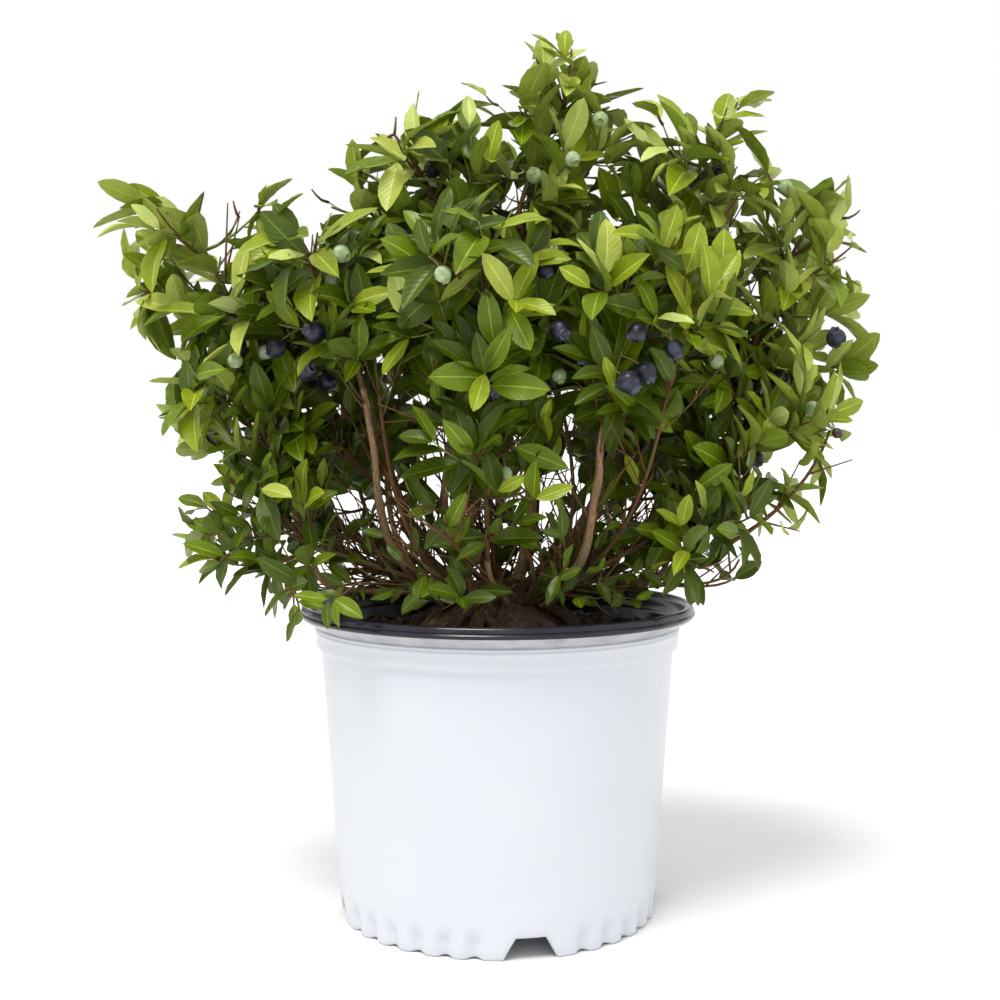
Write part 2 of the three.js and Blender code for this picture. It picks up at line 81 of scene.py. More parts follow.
# Masses of foliage: the middle and the half-sizes of the space that each fills.
MASSES = {
    "top_centre": ((38, 7, 481), (67, 67, 75)),
    "top_left": ((-53, -10, 454), (73, 69, 69)),
    "top_right": ((127, -5, 452), (69, 69, 73)),
    "top_back": ((2, 89, 438), (85, 69, 69)),
    "left_shoulder": ((-188, -5, 407), (69, 73, 67)),
    "right_shoulder": ((190, 3, 405), (69, 73, 69)),
    "upper_left": ((-107, -51, 383), (67, 65, 71)),
    "front_centre": ((-9, -90, 378), (73, 63, 71)),
    "front_right": ((85, -83, 369), (67, 67, 71)),
    "back_left": ((-111, 93, 386), (75, 71, 73)),
    "back_right": ((115, 95, 387), (75, 71, 73)),
    "back_centre": ((2, 143, 351), (71, 65, 71)),
    "left_flank": ((-161, -18, 313), (71, 75, 63)),
    "right_flank": ((163, -10, 313), (73, 75, 65)),
    "heart": ((3, 7, 375), (71, 71, 69)),
    "left_low": ((-142, -33, 239), (69, 75, 61)),
    "right_low": ((134, -26, 236), (69, 73, 57)),
    "back_low_left": ((-98, 101, 270), (71, 71, 65)),
    "back_low_right": ((100, 101, 270), (71, 71, 65)),
    "front_shoots": ((-9, -80, 276), (61, 49, 65)),
}

# Stems: the mass that each ends in, its two radii, its turn round the woody crown, and options.
STEMS = {
    "stem_left": ("upper_left", (4.6, 2.4), 196, {}),
    "stem_right": ("front_right", (4.5, 2.4), -36, {}),
    "stem_left_low": ("left_low", (3.7, 2.2), 178, {"sink": 0.25}),
    "stem_right_low": ("right_low", (3.7, 2.2), -6, {"sink": 0.2}),
    "stem_left_flank": ("left_flank", (4.8, 2.5), 158, {}),
    "stem_right_flank": ("right_flank", (4.8, 2.5), 16, {}),
    "stem_back_left": ("back_left", (5.2, 2.6), 132, {}),
    "stem_back_right": ("back_right", (5.2, 2.6), 46, {}),
    "stem_back": ("back_centre", (4.4, 2.4), 90, {}),
    "stem_front": ("front_centre", (3.9, 2.2), -112, {}),
    "stem_top_left": ("top_left", (4.3, 2.3), 142, {"tuck": 0.4}),
    "stem_top": ("top_centre", (4.5, 2.4), 52, {"tuck": 0.3}),
    "stem_top_right": ("top_right", (4.3, 2.3), 8, {"tuck": 0.42}),
    "shoot_front": ("front_shoots", (2.9, 2.0), -82, {}),
}
# Boughs: the mass, the radii, the stem that each forks from and where along it.
BOUGHS = {
    "bough_left": ("left_shoulder", (3.2, 2.2), "stem_left_flank", 0.62),
    "bough_right": ("right_shoulder", (3.2, 2.2), "stem_right_flank", 0.62),
    "bough_heart": ("heart", (3.0, 2.1), "stem_top", 0.3),
    "bough_top_back": ("top_back", (3.2, 2.2), "stem_back", 0.5),
    "bough_back_left": ("back_low_left", (3.1, 2.1), "stem_back_left", 0.3),
    "bough_back_right": ("back_low_right", (3.1, 2.1), "stem_back_right", 0.3),
}

# ---------------- camera, light and floor

PHOTO_SIDE = 1000
CAMERA = Sizes(distance=945.8, height=311.2, pitch=3.0, focal_px=1492.8, axis_px=497.4,
               sensor=36, reach_m=30)
# The key light's azimuth turns from the front towards the left.
KEY = Sizes(strength=2.35, spread=25, elevation=65, azimuth=28, colour=(1.0, 0.98, 0.92))
FLOOR_M = 60


def make_camera():
    data = bpy.data.cameras.new("camera")
    data.sensor_width = CAMERA.sensor
    data.lens = CAMERA.focal_px / PHOTO_SIDE * CAMERA.sensor
    data.shift_x = (PHOTO_SIDE / 2 - CAMERA.axis_px) / PHOTO_SIDE
    data.clip_end = CAMERA.reach_m
    camera = bpy.data.objects.new("camera", data)
    camera.location = (0, -CAMERA.distance * MM, CAMERA.height * MM)
    camera.rotation_euler = (math.radians(90 - CAMERA.pitch), 0, 0)
    bpy.context.scene.collection.objects.link(camera)
    bpy.context.scene.camera = camera


def seen_at(points):
    """Where points are seen from the camera, as x and z on the plane through the pot's axis."""
    x, y, z = np.atleast_2d(points).T
    scale = CAMERA.distance / (CAMERA.distance + y)
    return np.stack([x * scale, CAMERA.height + (z - CAMERA.height) * scale], -1)


def place_at(x, z, y):
    """The point at depth y that is seen at x and z of the plane through the pot's axis."""
    scale = (CAMERA.distance + y) / CAMERA.distance
    return np.array([x * scale, y, CAMERA.height + (z - CAMERA.height) * scale])


def make_light():
    world = bpy.data.worlds.new("studio")
    world.use_nodes = True
    background = world.node_tree.nodes["Background"]
    background.inputs["Color"].default_value = (1, 1, 1, 1)
    background.inputs["Strength"].default_value = 1.0
    bpy.context.scene.world = world
    data = bpy.data.lights.new("key", "SUN")
    data.energy = KEY.strength
    data.angle = math.radians(KEY.spread)
    data.color = KEY.colour
    key = bpy.data.objects.new("key", data)
    key.rotation_euler = (math.radians(90 - KEY.elevation), 0, math.radians(-KEY.azimuth))
    bpy.context.scene.collection.objects.link(key)
    bpy.context.scene.view_settings.view_transform = "Standard"


def make_floor():
    bpy.ops.mesh.primitive_plane_add(size=FLOOR_M, location=(0, 0, 0))
    floor = bpy.context.object
    floor.name = "floor"
    floor.data.materials.append(Shader("floor_white", (0.8, 0.8, 0.8), 0.95).material)


# ---------------- materials

# How strongly surfaces mirror the studio: leaves and bark are duller than most things.
LEAF_GLOSS = 0.27
BARK_GLOSS = 0.12
PLASTIC_GLOSS = 0.4
BERRY_GLOSS = 0.45
SIDE_VEINS = 9  # pairs along a leaf


class Shader:
    """A Principled material with helpers that add procedural colour, roughness and bump."""

    def __init__(self, name, colour, roughness=0.5, gloss=0.5):
        self.material = bpy.data.materials.new(name)
        self.material.use_nodes = True
        self.tree = self.material.node_tree
        self.main = self.tree.nodes["Principled BSDF"]
        self.main.inputs["Base Color"].default_value = (*colour, 1)
        self.main.inputs["Roughness"].default_value = roughness
        self.main.inputs["Specular IOR Level"].default_value = gloss

    def node(self, kind, links=(), **settings):
        """A node, with settings for its properties and sockets, and links to what feeds them."""
        node = self.tree.nodes.new(kind)
        for key, value in settings.items():
            if hasattr(node, key):
                setattr(node, key, value)
            else:
                node.inputs[key].default_value = value
        for socket, source in dict(links).items():
            self.tree.links.new(source, node.inputs[socket])
        return node

    def work_out(self, operation, *values):
        """The result of a Math node on sockets and numbers."""
        node = self.node("ShaderNodeMath", operation=operation)
        for socket, value in zip(node.inputs, values):
            if isinstance(value, (int, float)):
                socket.default_value = value
            else:
                self.tree.links.new(value, socket)
        return node.outputs[0]

    def coordinates(self, kind="Object", stretch=(1, 1, 1)):
        source = self.node("ShaderNodeTexCoord").outputs[kind]
        return self.node("ShaderNodeMapping", {"Vector": source}, Scale=stretch).outputs["Vector"]

    def noise(self, scale, detail, roughness=0.55, **place):
        links = {"Vector": self.coordinates(**place)}
        return self.node("ShaderNodeTexNoise", links, Scale=scale, Detail=detail,
                         Roughness=roughness).outputs["Fac"]

    def ramp(self, value, stops):
        """A ramp through stops: places, each with a colour or a grey."""
        node = self.node("ShaderNodeValToRGB", {"Fac": value})
        points = node.color_ramp.elements
        while len(points) < len(stops):
            points.new(0.5)
        for point, (place, colour) in zip(points, stops):
            point.position = place
            point.color = (*colour, 1) if isinstance(colour, tuple) else (colour, colour, colour, 1)
        return node.outputs["Color"]

    def blend(self, factor, base, colour):
        node = self.node("ShaderNodeMix", {"Factor": factor, "A": base}, data_type="RGBA")
        node.inputs["B"].default_value = (*colour, 1)
        return node.outputs["Result"]

    def drive(self, socket, output):
        self.tree.links.new(output, self.main.inputs[socket])

    def bump(self, height, strength, distance, under=None):
        links = {"Height": height} if under is None else {"Height": height, "Normal": under}
        node = self.node("ShaderNodeBump", links, Strength=strength, Distance=distance)
        self.drive("Normal", node.outputs["Normal"])
        return node.outputs["Normal"]


def speckled(name, colour, stops, scale, detail, roughness=0.5, gloss=0.5, rough=None, bump=None):
    """A material that follows one noise: by its colour, and where given by its roughness.

    bump is the strength and the distance, in metres, by which the same noise raises the surface.
    """
    shade = Shader(name, colour, roughness, gloss)
    grain = shade.noise(scale, detail)
    shade.drive("Base Color", shade.ramp(grain, stops))
    if rough:
        shade.drive("Roughness", shade.ramp(grain, rough))
    if bump:
        shade.bump(grain, *bump)
    return shade


def leaf_shader(name, colour, vein, roughness, ribbed):
    """A leaf: mottled green, with paler side veins that slope from the midrib.

    Along a leaf U runs from its root to its tip, and V from edge to edge, so the side veins are
    chevrons of U and V. Where ribbed is true the shader draws the midrib as well.
    """
    shade = Shader(name, colour, roughness, LEAF_GLOSS)
    mottle = shade.work_out("ADD", shade.noise(26, 2), shade.noise(170, 3))
    shades = [(place, tuple(channel * share for channel in colour))
              for place, share in ((0.3, 0.78), (0.5, 1.0), (0.72, 1.22))]
    ground = shade.ramp(shade.work_out("MULTIPLY", mottle, 0.5), shades)
    parts = shade.node("ShaderNodeSeparateXYZ", {"Vector": shade.coordinates("UV")}).outputs
    away = shade.work_out("ABSOLUTE", shade.work_out("SUBTRACT", parts["Y"], 0.5))
    slope = shade.work_out("MULTIPLY_ADD", away, -0.5, parts["X"])
    wave = shade.work_out("SINE", shade.work_out("MULTIPLY", slope, math.pi * SIDE_VEINS))
    veins = shade.ramp(shade.work_out("ABSOLUTE", wave), [(0.0, 1), (0.16, 0.35), (0.4, 0)])
    if ribbed:
        veins = shade.work_out("MAXIMUM", veins, shade.ramp(away, [(0.02, 1), (0.055, 0)]))
    weight = shade.work_out("MULTIPLY", veins, 0.75 if ribbed else 0.35)
    shade.drive("Base Color", shade.blend(weight, ground, vein))
    fine = shade.bump(shade.noise(900, 2), 0.1, 0.0002)
    ridges = shade.work_out("MULTIPLY", veins, 1 if ribbed else -1)
    shade.bump(ridges, 0.5, 0.0005, fine)
    return shade.material


def bark_shader(name, dark, mid, light, grey):
    """Fibrous bark that peels in long strips, with grey weathering."""
    shade = Shader(name, mid, 0.85, BARK_GLOSS)
    strips = shade.noise(3.2, 6, 0.65, kind="UV", stretch=(14, 1.6, 1))
    colour = shade.ramp(strips, [(0.3, dark), (0.48, mid), (0.68, light)])
    patches = shade.ramp(shade.noise(38, 3), [(0.45, 0), (0.7, 1)])
    shade.drive("Base Color", shade.blend(patches, colour, grey))
    shade.bump(strips, 0.7, 0.0008)
    return shade.material


def berry_shader(name, dark, bloom, share):
    """Skin under a waxy bloom that is rubbed off in places."""
    shade = speckled(name, dark, [(share, dark), (share + 0.16, bloom)], 150, 4, 0.42, BERRY_GLOSS,
                     rough=[(share, 0.35), (share + 0.2, 0.65)])
    shade.bump(shade.noise(1100, 2), 0.12, 0.0002)
    return shade.material


# ---------------- mesh making


def ring_faces(rows, cols):
    """Quads between rings of points, and triangles that cap both ends.

    The points are numbered ring by ring, then come the middles of the first and the last cap.
    """
    i, j = np.meshgrid(np.arange(rows - 1), np.arange(cols), indexing="ij")
    k = (j + 1) % cols
    quads = np.stack([i * cols + j, i * cols + k, (i + 1) * cols + k, (i + 1) * cols + j], -1)
    j, k, last = j[0], k[0], (rows - 1) * cols
    low = np.stack([k, j, np.full(cols, rows * cols)], -1)
    high = np.stack([last + j, last + k, np.full(cols, rows * cols + 1)], -1)
    return quads.reshape(-1, 4), np.concatenate([low, high])


class Pile:
    """Vertices, quads, triangles, their materials and UVs, piled up into one mesh."""

    def __init__(self):
        self.heaps = []
        self.count = 0

    def add(self, verts, quads, tris=(), quad_mats=0, tri_mats=0, uvs=None, rims=False):
        """Adds faces. An edge between two vertices that are rims stays sharp."""
        tris = np.asarray(tris, int).reshape(-1, 3)
        uvs = np.zeros((len(verts), 2)) if uvs is None else uvs
        spread = [np.broadcast_to(value, len(rows)) for value, rows in
                  ((quad_mats, quads), (tri_mats, tris), (rims, verts))]
        self.heaps.append((verts, uvs, np.add(quads, self.count), tris + self.count, *spread))
        self.count += len(verts)

    def add_rings(self, rings, first, last, quad_mats=0, tri_mats=0, uvs=None):
        """Adds a closed skin through rings of points, with caps that meet at first and last."""
        quads, tris = ring_faces(*rings.shape[:2])
        verts = np.concatenate([rings.reshape(-1, 3), [first], [last]])
        if uvs is not None:
            uvs = np.concatenate([uvs.reshape(-1, 2), np.zeros((2, 2))])
        self.add(verts, quads, tris, quad_mats, tri_mats, uvs)

    def build(self, name, materials, slot, replaces=(), smooth=True):
        heaps = (np.concatenate(heap) for heap in zip(*self.heaps))
        verts, uvs, quads, tris, quad_mats, tri_mats, rims = heaps
        mesh = bpy.data.meshes.new(name)
        mesh.from_pydata(verts * MM, [], quads.tolist() + tris.tolist())
        corners = np.concatenate([quads.ravel(), tris.ravel()])
        mesh.uv_layers.new(name="UVMap").data.foreach_set("uv", uvs[corners].ravel())
        for material in materials:
            mesh.materials.append(material)
        mesh.polygons.foreach_set("material_index", np.concatenate([quad_mats, tri_mats]))
        mesh.polygons.foreach_set("use_smooth", np.full(len(mesh.polygons), smooth))
        if rims.any():
            ends = np.empty(len(mesh.edges) * 2, np.int32)
            mesh.edges.foreach_get("vertices", ends)
            crisp = rims[ends].reshape(-1, 2).all(1)
            mesh.attributes.new("sharp_edge", "BOOLEAN", "EDGE").data.foreach_set("value", crisp)
        mesh.update()
        piece = bpy.data.objects.new(name, mesh)
        bpy.context.scene.collection.objects.link(piece)
        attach(piece, BODY)
        if replaces:
            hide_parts(*replaces)


def unit(vector):
    vector = np.asarray(vector, float)
    return vector / np.maximum(norm(vector, axis=-1, keepdims=True), 1e-9)


def between(value, start, end):
    """How far a value is on its way from start to end, kept between 0 and 1."""
    return np.clip((value - start) / (end - start), 0, 1)


def compass(angle):
    """The level direction at an angle from +X."""
    return np.array([math.cos(angle), math.sin(angle), 0.0])


class Path:
    """A curve as a row of points, read by its share of length from 0 to 1."""

    def __init__(self, points):
        self.points = points
        steps = norm(np.diff(points, axis=0), axis=1)
        self.length = steps.sum()
        self.shares = np.concatenate([[0], np.cumsum(steps)]) / self.length

    def at(self, share):
        """The point at a share, or a row of points at several."""
        return np.array([np.interp(share, self.shares, column) for column in self.points.T]).T

    def tangent(self, share):
        return unit(self.at(min(share + 0.02, 1)) - self.at(max(share - 0.02, 0)))


def bezier(*controls, steps=40):
    controls = np.array(controls, float)
    degree = len(controls) - 1
    t = np.linspace(0, 1, steps + 1)[:, None]
    return Path(sum(math.comb(degree, k) * t**k * (1 - t) ** (degree - k) * controls[k]
                    for k in range(degree + 1)))


def tube(pile, points, radii, sides, relief=None):
    """A closed tube along points, which doesn't twist. relief gives a factor on the radius."""
    tangents = unit(np.gradient(points, axis=0))
    side = unit(np.cross(tangents[0], UP if abs(tangents[0][2]) < 0.9 else [1.0, 0, 0]))
    xs = []
    for tangent in tangents:
        side = unit(side - tangent * side.dot(tangent))
        xs.append(side)
    ys = np.cross(tangents, xs)
    turns = np.arange(sides) / sides * TURN
    steps = norm(np.diff(points, axis=0), axis=1)
    lengths = np.array([0, *np.cumsum(steps)])[:, None]
    radii = np.broadcast_to(radii, len(points))[:, None] * np.ones(sides)
    if relief:
        radii = radii * relief(turns, lengths)
    rings = points[:, None] + radii[..., None] * (
        np.cos(turns)[:, None] * np.array(xs)[:, None] + np.sin(turns)[:, None] * ys[:, None])
    uvs = np.stack(np.broadcast_arrays(turns / TURN, lengths / 30), -1)
    pile.add_rings(rings, points[0], points[-1], uvs=uvs)


def arc_steps(points, most):
    """Adds points so that no step of a profile is longer than most."""
    out = [points[0]]
    for a, b in zip(points, points[1:]):
        count = max(1, math.ceil(math.dist(a, b) / most))
        out += [(a[0] + (b[0] - a[0]) * k / count, a[1] + (b[1] - a[1]) * k / count)
                for k in range(1, count + 1)]
    return out


def rough_noise(seed, count, shortest, longest):
    """A smooth random field of points: a sum of waves of random length and heading."""
    chance = np.random.RandomState(seed)
    headings = unit(chance.normal(size=(count, 3)))
    lengths = np.exp(chance.uniform(math.log(shortest), math.log(longest), count))
    phases = chance.uniform(0, TURN, count)
    weights = lengths / lengths.max()
    weights /= weights.sum()

    def field(points):
        waves = points @ (headings * (TURN / lengths[:, None])).T
        return np.sin(waves + phases) @ weights * 2

    return field


# ---------------- pot and potting mix


def near(radius, height, *steps):
    """Points of a profile that lie small steps out and up from one place."""
    return [(radius + out, height + up) for out, up in steps]


def pot_profiles():
    """The outside, from the foot's lowest edge to the lip's sharp edge, the inside and the underside.

    A bend is kept sharp by points close to it on both sides.
    """
    p = POT
    skin, floor = p.skin, p.channel_height + p.skin
    wall = [(p.wall_foot + (p.wall_head - p.wall_foot) * share,
             p.bevel + (p.wall_top - p.bevel) * share) for share in (0.09, 0.985)]
    outside = [
        *near(p.foot_inner, 0, (1.6, 0)),
        *near(p.foot_outer, 0, (-0.4, 0), (0.4, 0.5)),
        *near(p.wall_foot, p.bevel, (0, 0.4)), *wall,
        *near(p.wall_head, p.wall_top, (0, -0.5), (0, 0.2), (0.5, 1)),
        *near(p.collar, p.collar_foot, (-0.9, -0.45), (-0.25, 0), (0, 0.6), (0.1, 1.6)),
        *near(p.collar, p.collar_top, (0.3, -3.4), (0.75, -2.9), (0.8, -2.2), (0.2, -1.6),
              (0.1, -0.8), (1.1, -0.4), (1.3, 0.1), (0.2, 0.5), (0.3, 1.1), (2.6, 2.2)),
        *near(RIM_RADIUS, p.lip_edge, (-1.9, -2.8), (-0.9, -2.1), (-0.6, -1.2)),
    ]
    inside = [
        *near(RIM_RADIUS, p.lip_edge, (-0.55, -0.9), (-0.1, -0.5), (0, 0.2), (-0.3, 1.1),
              (-1.3, 1.5), (-1.4, 2.0), (-0.7, 2.3), (-0.6, 2.7), (-0.9, 3.3)),
        *near(p.lip_crest, POT_HEIGHT, (2.2, -1.4), (1.9, -0.7), (1.2, -0.15), (-0.2, 0),
              (-1.6, -0.3), (-2.8, -1.2)),
        *near(p.lip_inner, POT_HEIGHT, (0.4, -2.6), (0, -4.5), (-0.6, -8.5)),
        *near(p.collar - skin, p.collar_top, (1.2, 3.4), (0.2, 1)),
        *near(p.collar - skin, p.collar_foot, (0, 1)),
        *near(p.wall_head - skin, p.wall_top, (0, -2)),
        *near(p.wall_foot - skin, floor, (0.9, 1.5), (-1, 0)),
        (p.channel - skin, floor), (p.pad - skin, skin), (0.4, skin),
    ]
    under = [
        (0.4, 0), (p.pad, 0),
        *near(p.channel, p.channel_height, (-1, -1.4), (0.6, 0)),
        *near(p.foot_inner, p.channel_height, (-2, 0), (-0.8, -1.2)),
        *near(p.foot_inner, 0, (0.4, 0.8), (1.6, 0)),
    ]
    return arc_steps(outside, 5), arc_steps(inside, 16), arc_steps(under, 8)


def foot_lift(turn):
    """How high the foot's lower edge is cut away at a turn, in degrees: the drain notches."""
    away = abs((turn - POT.first_notch + NOTCH_PITCH / 2) % NOTCH_PITCH - NOTCH_PITCH / 2)
    across = math.radians(away) * POT.foot_outer
    top, foot = POT.notch_top / 2, POT.notch_foot / 2
    return POT.notch_height * between(across, foot, top)


def flute_dent(turn, height):
    """How far the foot's wall is pushed in at a turn, in degrees, and a height."""
    from_middle = (turn - POT.first_notch) % NOTCH_PITCH - NOTCH_PITCH / 2
    place = from_middle / POT.flute_pitch + POT.flutes / 2 - 0.5
    nearest = min(max(round(place), 0), POT.flutes - 1)
    pitch = math.radians(POT.flute_pitch) * POT.foot_outer
    away = abs(place - nearest) * pitch / POT.flute_width
    if away > 1 or height > POT.flute_height:
        return 0
    fade = min(1, (POT.flute_height - height) / POT.flute_fade)
    return POT.flute_depth * fade * math.cos(away * math.pi / 2) ** 1.3


def foot_point(radius, height, turn):
    """A point of the foot, lifted by the notches and pushed in by the flutes."""
    top = POT.channel_height + 2
    lift = foot_lift(turn) + POT.flute_lift * flute_dent(turn, 0) / POT.flute_depth
    height = lift + height * (top - lift) / top
    return radius - flute_dent(turn, height), height


def pot_materials():
    white = speckled("pot_white", (0.62, 0.641, 0.694),
                     [(0.3, (0.606, 0.628, 0.681)), (0.7, (0.634, 0.655, 0.708))], 9, 5, 0.32,
                     PLASTIC_GLOSS)
    rubbed = white.noise(140, 3, stretch=(1, 1, 5))
    white.drive("Roughness", white.ramp(rubbed, [(0.35, 0.3), (0.7, 0.42)]))
    white.bump(white.noise(60, 3, stretch=(1, 1, 0.25)), 0.06, 0.0006)
    black = speckled("pot_black", (0.012, 0.011, 0.02),
                     [(0.45, (0.01, 0.009, 0.017)), (0.85, (0.03, 0.028, 0.036))], 55, 5, 0.16,
                     PLASTIC_GLOSS, rough=[(0.3, 0.12), (0.7, 0.26)])
    # a grey of painted shade for the roll under the lip, where it faces down
    edge = speckled("pot_lip_painted_shade", (0.4, 0.4, 0.43),
                    [(0.3, (0.33, 0.33, 0.37)), (0.7, (0.5, 0.5, 0.53))], 70, 4, 0.3, PLASTIC_GLOSS)
    return [white.material, black.material, edge.material]


def make_pot():
    """The pot, turned round its axis. Its materials are 0 white, 1 black and 2 the grey of painted shade
    on the roll under the lip.
    """
    halves = [math.degrees(width / 2 / POT.foot_outer) for width in (POT.notch_top, POT.notch_foot)]
    corners = {round((POT.first_notch + NOTCH_PITCH * notch + half * side) % 360, 4)
               for notch in range(POT.notches) for half in halves for side in (-1, 1)}
    turns = sorted(corners | set(range(360)))
    outside, inside, under = pot_profiles()
    profile = under[:-1] + outside + inside
    verts = []
    for radius, height in profile:
        foot = (radius > POT.foot_inner - 1 and height < POT.channel_height + 2
                and (radius, height) not in inside)
        for turn in turns:
            out, z = foot_point(radius, height, turn) if foot else (radius, height)
            verts.append(out * compass(math.radians(turn)) + UP * z)
    rings = np.reshape(verts, (len(profile), len(turns), 3))
    # the rows of the roll under the lip take the painted shade
    lip_shade_rows = sum(height > POT.collar_top + 0.6 for _, height in outside)
    white_rows = len(under) + len(outside) - lip_shade_rows - 2
    mats = [0] * white_rows + [2] * lip_shade_rows + [1] * len(inside)
    pile = Pile()
    pile.add_rings(rings, (0, 0, 0), (0, 0, POT.skin), np.repeat(mats, len(turns)),
                   np.repeat([0, 1], len(turns)))
    pile.build("pot_shell", pot_materials(), "pot_white", ["pot"])


# The top of the mix is level up to a radius, then falls towards the wall.
MIX = Sizes(level=67, fall=6, foot=20, rings=44, sides=140, chips=420,
            chip_lift=(-0.5, 1.6), chip_size=((4, 13), (2.5, 6), (1, 2.6)))


def make_mix():
    """Potting mix with a lumpy top, strewn with chips of composted bark."""
    chance = random.Random(SEEDS.mix)
    inset = POT.skin + GAP
    brim = POT.collar - inset - 0.4
    radii = np.array([*np.linspace(2, brim - 1, MIX.rings), brim])
    circle = np.array([compass(turn) for turn in np.arange(MIX.sides) / MIX.sides * TURN])
    lumps, crumbs = rough_noise(3, 30, 14, 60), rough_noise(4, 50, 3, 9)
    top = radii[:, None, None] * circle
    fall = between(radii[:, None], MIX.level, brim) * MIX.fall
    top[..., 2] = SOIL_TOP - 0.5 - fall + np.minimum(lumps(top) * 2.2 + crumbs(top) * 1.3, 2.5)
    side = [(brim, POT.collar_foot), (POT.wall_head - inset, POT.wall_top - 4),
            (POT.wall_foot - inset, MIX.foot)]
    rings = [*top, *(circle * radius + UP * height for radius, height in side)]
    pile = Pile()
    pile.add_rings(np.array(rings[::-1]), (0, 0, MIX.foot), (0, 0, SOIL_TOP))
    for _ in range(MIX.chips):
        radius, turn = brim * 0.96 * math.sqrt(chance.random()), chance.uniform(0, TURN)
        fall = between(radius, MIX.level, brim) * MIX.fall
        height = SOIL_TOP - fall + chance.uniform(*MIX.chip_lift)
        chip(pile, chance, radius * compass(turn) + UP * height)
    soil = speckled("potting_mix", (0.03, 0.02, 0.014),
                    [(0.35, (0.012, 0.008, 0.006)), (0.6, (0.045, 0.028, 0.018)),
                     (0.8, (0.11, 0.07, 0.045))], 260, 6, 0.95, bump=(0.8, 0.0015))
    bark = speckled("bark_chip", (0.07, 0.04, 0.025),
                    [(0.3, (0.025, 0.015, 0.01)), (0.7, (0.12, 0.065, 0.038))], 130, 5, 0.85,
                    bump=(0.5, 0.001))
    pile.build("potting_mix_top", [soil.material, bark.material], "mix", ["potting_mix"], smooth=False)


def chip(pile, chance, centre):
    """One splinter of bark: a skewed block."""
    size = [[chance.uniform(*limits)] for limits in MIX.chip_size]
    turn, tilt = chance.uniform(0, math.pi), chance.uniform(-0.35, 0.35)
    along = compass(turn) * math.cos(tilt) + UP * math.sin(tilt)
    side = unit(np.cross(UP, along))
    axes = np.array([along, side, np.cross(along, side)]) * size
    verts = []
    for corner in np.ndindex(2, 2, 2):
        skew = chance.uniform(0.6, 1.0)
        verts.append(centre + (np.array(corner) - 0.5) * [skew, skew, 1] @ axes)
    quads = [(0, 1, 3, 2), (4, 6, 7, 5), (0, 4, 5, 1), (2, 3, 7, 6), (0, 2, 6, 4), (1, 5, 7, 3)]
    pile.add(verts, quads, quad_mats=1)


# ---------------- woody crown and limbs

SLIM = 0.74  # the limbs' radii as a share of the solids' radii
BURLS = Sizes(count=19, twist=0.45, radii=(4, 8), proud=-4, heart=0.8)
CROWN_SIDES = 160
# The woody crown from its cut face to its top: radius and height as shares of the crown's.
CROWN_PROFILE = [(0.02, 0), (1.08, 0), (1.03, 0.06), (0.97, 0.16), (0.93, 0.28), (0.9, 0.4),
                 (0.82, 0.56), (0.72, 0.72), (0.57, 0.85), (0.4, 0.94), (0.2, 0.985), (0.02, 1)]


def seeded_random(seed):
    """The source's own random numbers, so that shoots grow where its shoots do."""
    state = [seed]

    def draw():
        state[0] = (state[0] * 1664525 + 1013904223) % 4294967296
        return state[0] / 4294967296

    return draw


def entry(mass, sink=LIMB.sink):
    """Where a limb enters its mass of foliage."""
    (x, y, z), (long, wide, high) = MASSES[mass]
    pull = LIMB.inward / math.hypot(x, y)
    return np.array([x - x * pull * long, y - y * pull * wide, z - sink * high])


def on_crown(out, tuck, rise):
    """A point of the woody crown in the direction out, at the share tuck of its radii."""
    height = SOIL_TOP + CROWN.height * (rise - 0.75 * tuck)
    return out * [CROWN.length, CROWN.width, 0] * tuck + UP * height


def arch(start, leave, end, arrive, pulls, steps=80):
    """A curve that leaves start along one heading and arrives at end along another."""
    span = norm(end - start)
    return bezier(start, start + unit(leave) * span * pulls[0], end - unit(arrive) * span * pulls[1],
                  end, steps=steps)


def stem_curve(mass, turn, tuck=LIMB.tuck, sink=LIMB.sink):
    out = compass(math.radians(turn))
    leave = out + UP * (LIMB.rise + (LIMB.tuck - tuck) * LIMB.steeper)
    return arch(on_crown(out, tuck, 1.05), leave, entry(mass, sink), UP + out * 0.25, (0.4, 0.36))


def bough_curve(mass, parent, fork):
    start, end = parent.at(fork), entry(mass)
    heading = unit(end - start)
    return arch(start, parent.tangent(fork) + heading * 1.1, end, UP + heading, (0.36, 0.3))


CURVES = {name: stem_curve(mass, turn, **options) for name, (mass, _, turn, options) in STEMS.items()}
for bough, (target, _, carrier, fork_at) in BOUGHS.items():
    CURVES[bough] = bough_curve(target, CURVES[carrier], fork_at)
LIMBS = {name: row[:2] for name, row in {**STEMS, **BOUGHS}.items()}


def limb_relief(seed):
    """Ridges that run along a limb, with joints where old twigs stood."""
    chance = random.Random(seed)
    waves = [(chance.randint(2, 7), chance.uniform(18, 70), chance.uniform(0, 6.28),
              chance.uniform(0.02, 0.05)) for _ in range(9)]
    knots = [(chance.uniform(10, 220), chance.uniform(0, 6.28), chance.uniform(0.1, 0.3))
             for _ in range(8)]

    def relief(turns, lengths):
        factor = 1
        for around, along, phase, size in waves:
            factor = factor + size * np.sin(around * turns + lengths / along * TURN + phase)
        for place, side, size in knots:
            swell = np.exp(-((lengths - place) / 3.4) ** 2)
            factor = factor + size * swell * (0.45 + 0.55 * np.cos(turns - side))
        return factor

    return relief


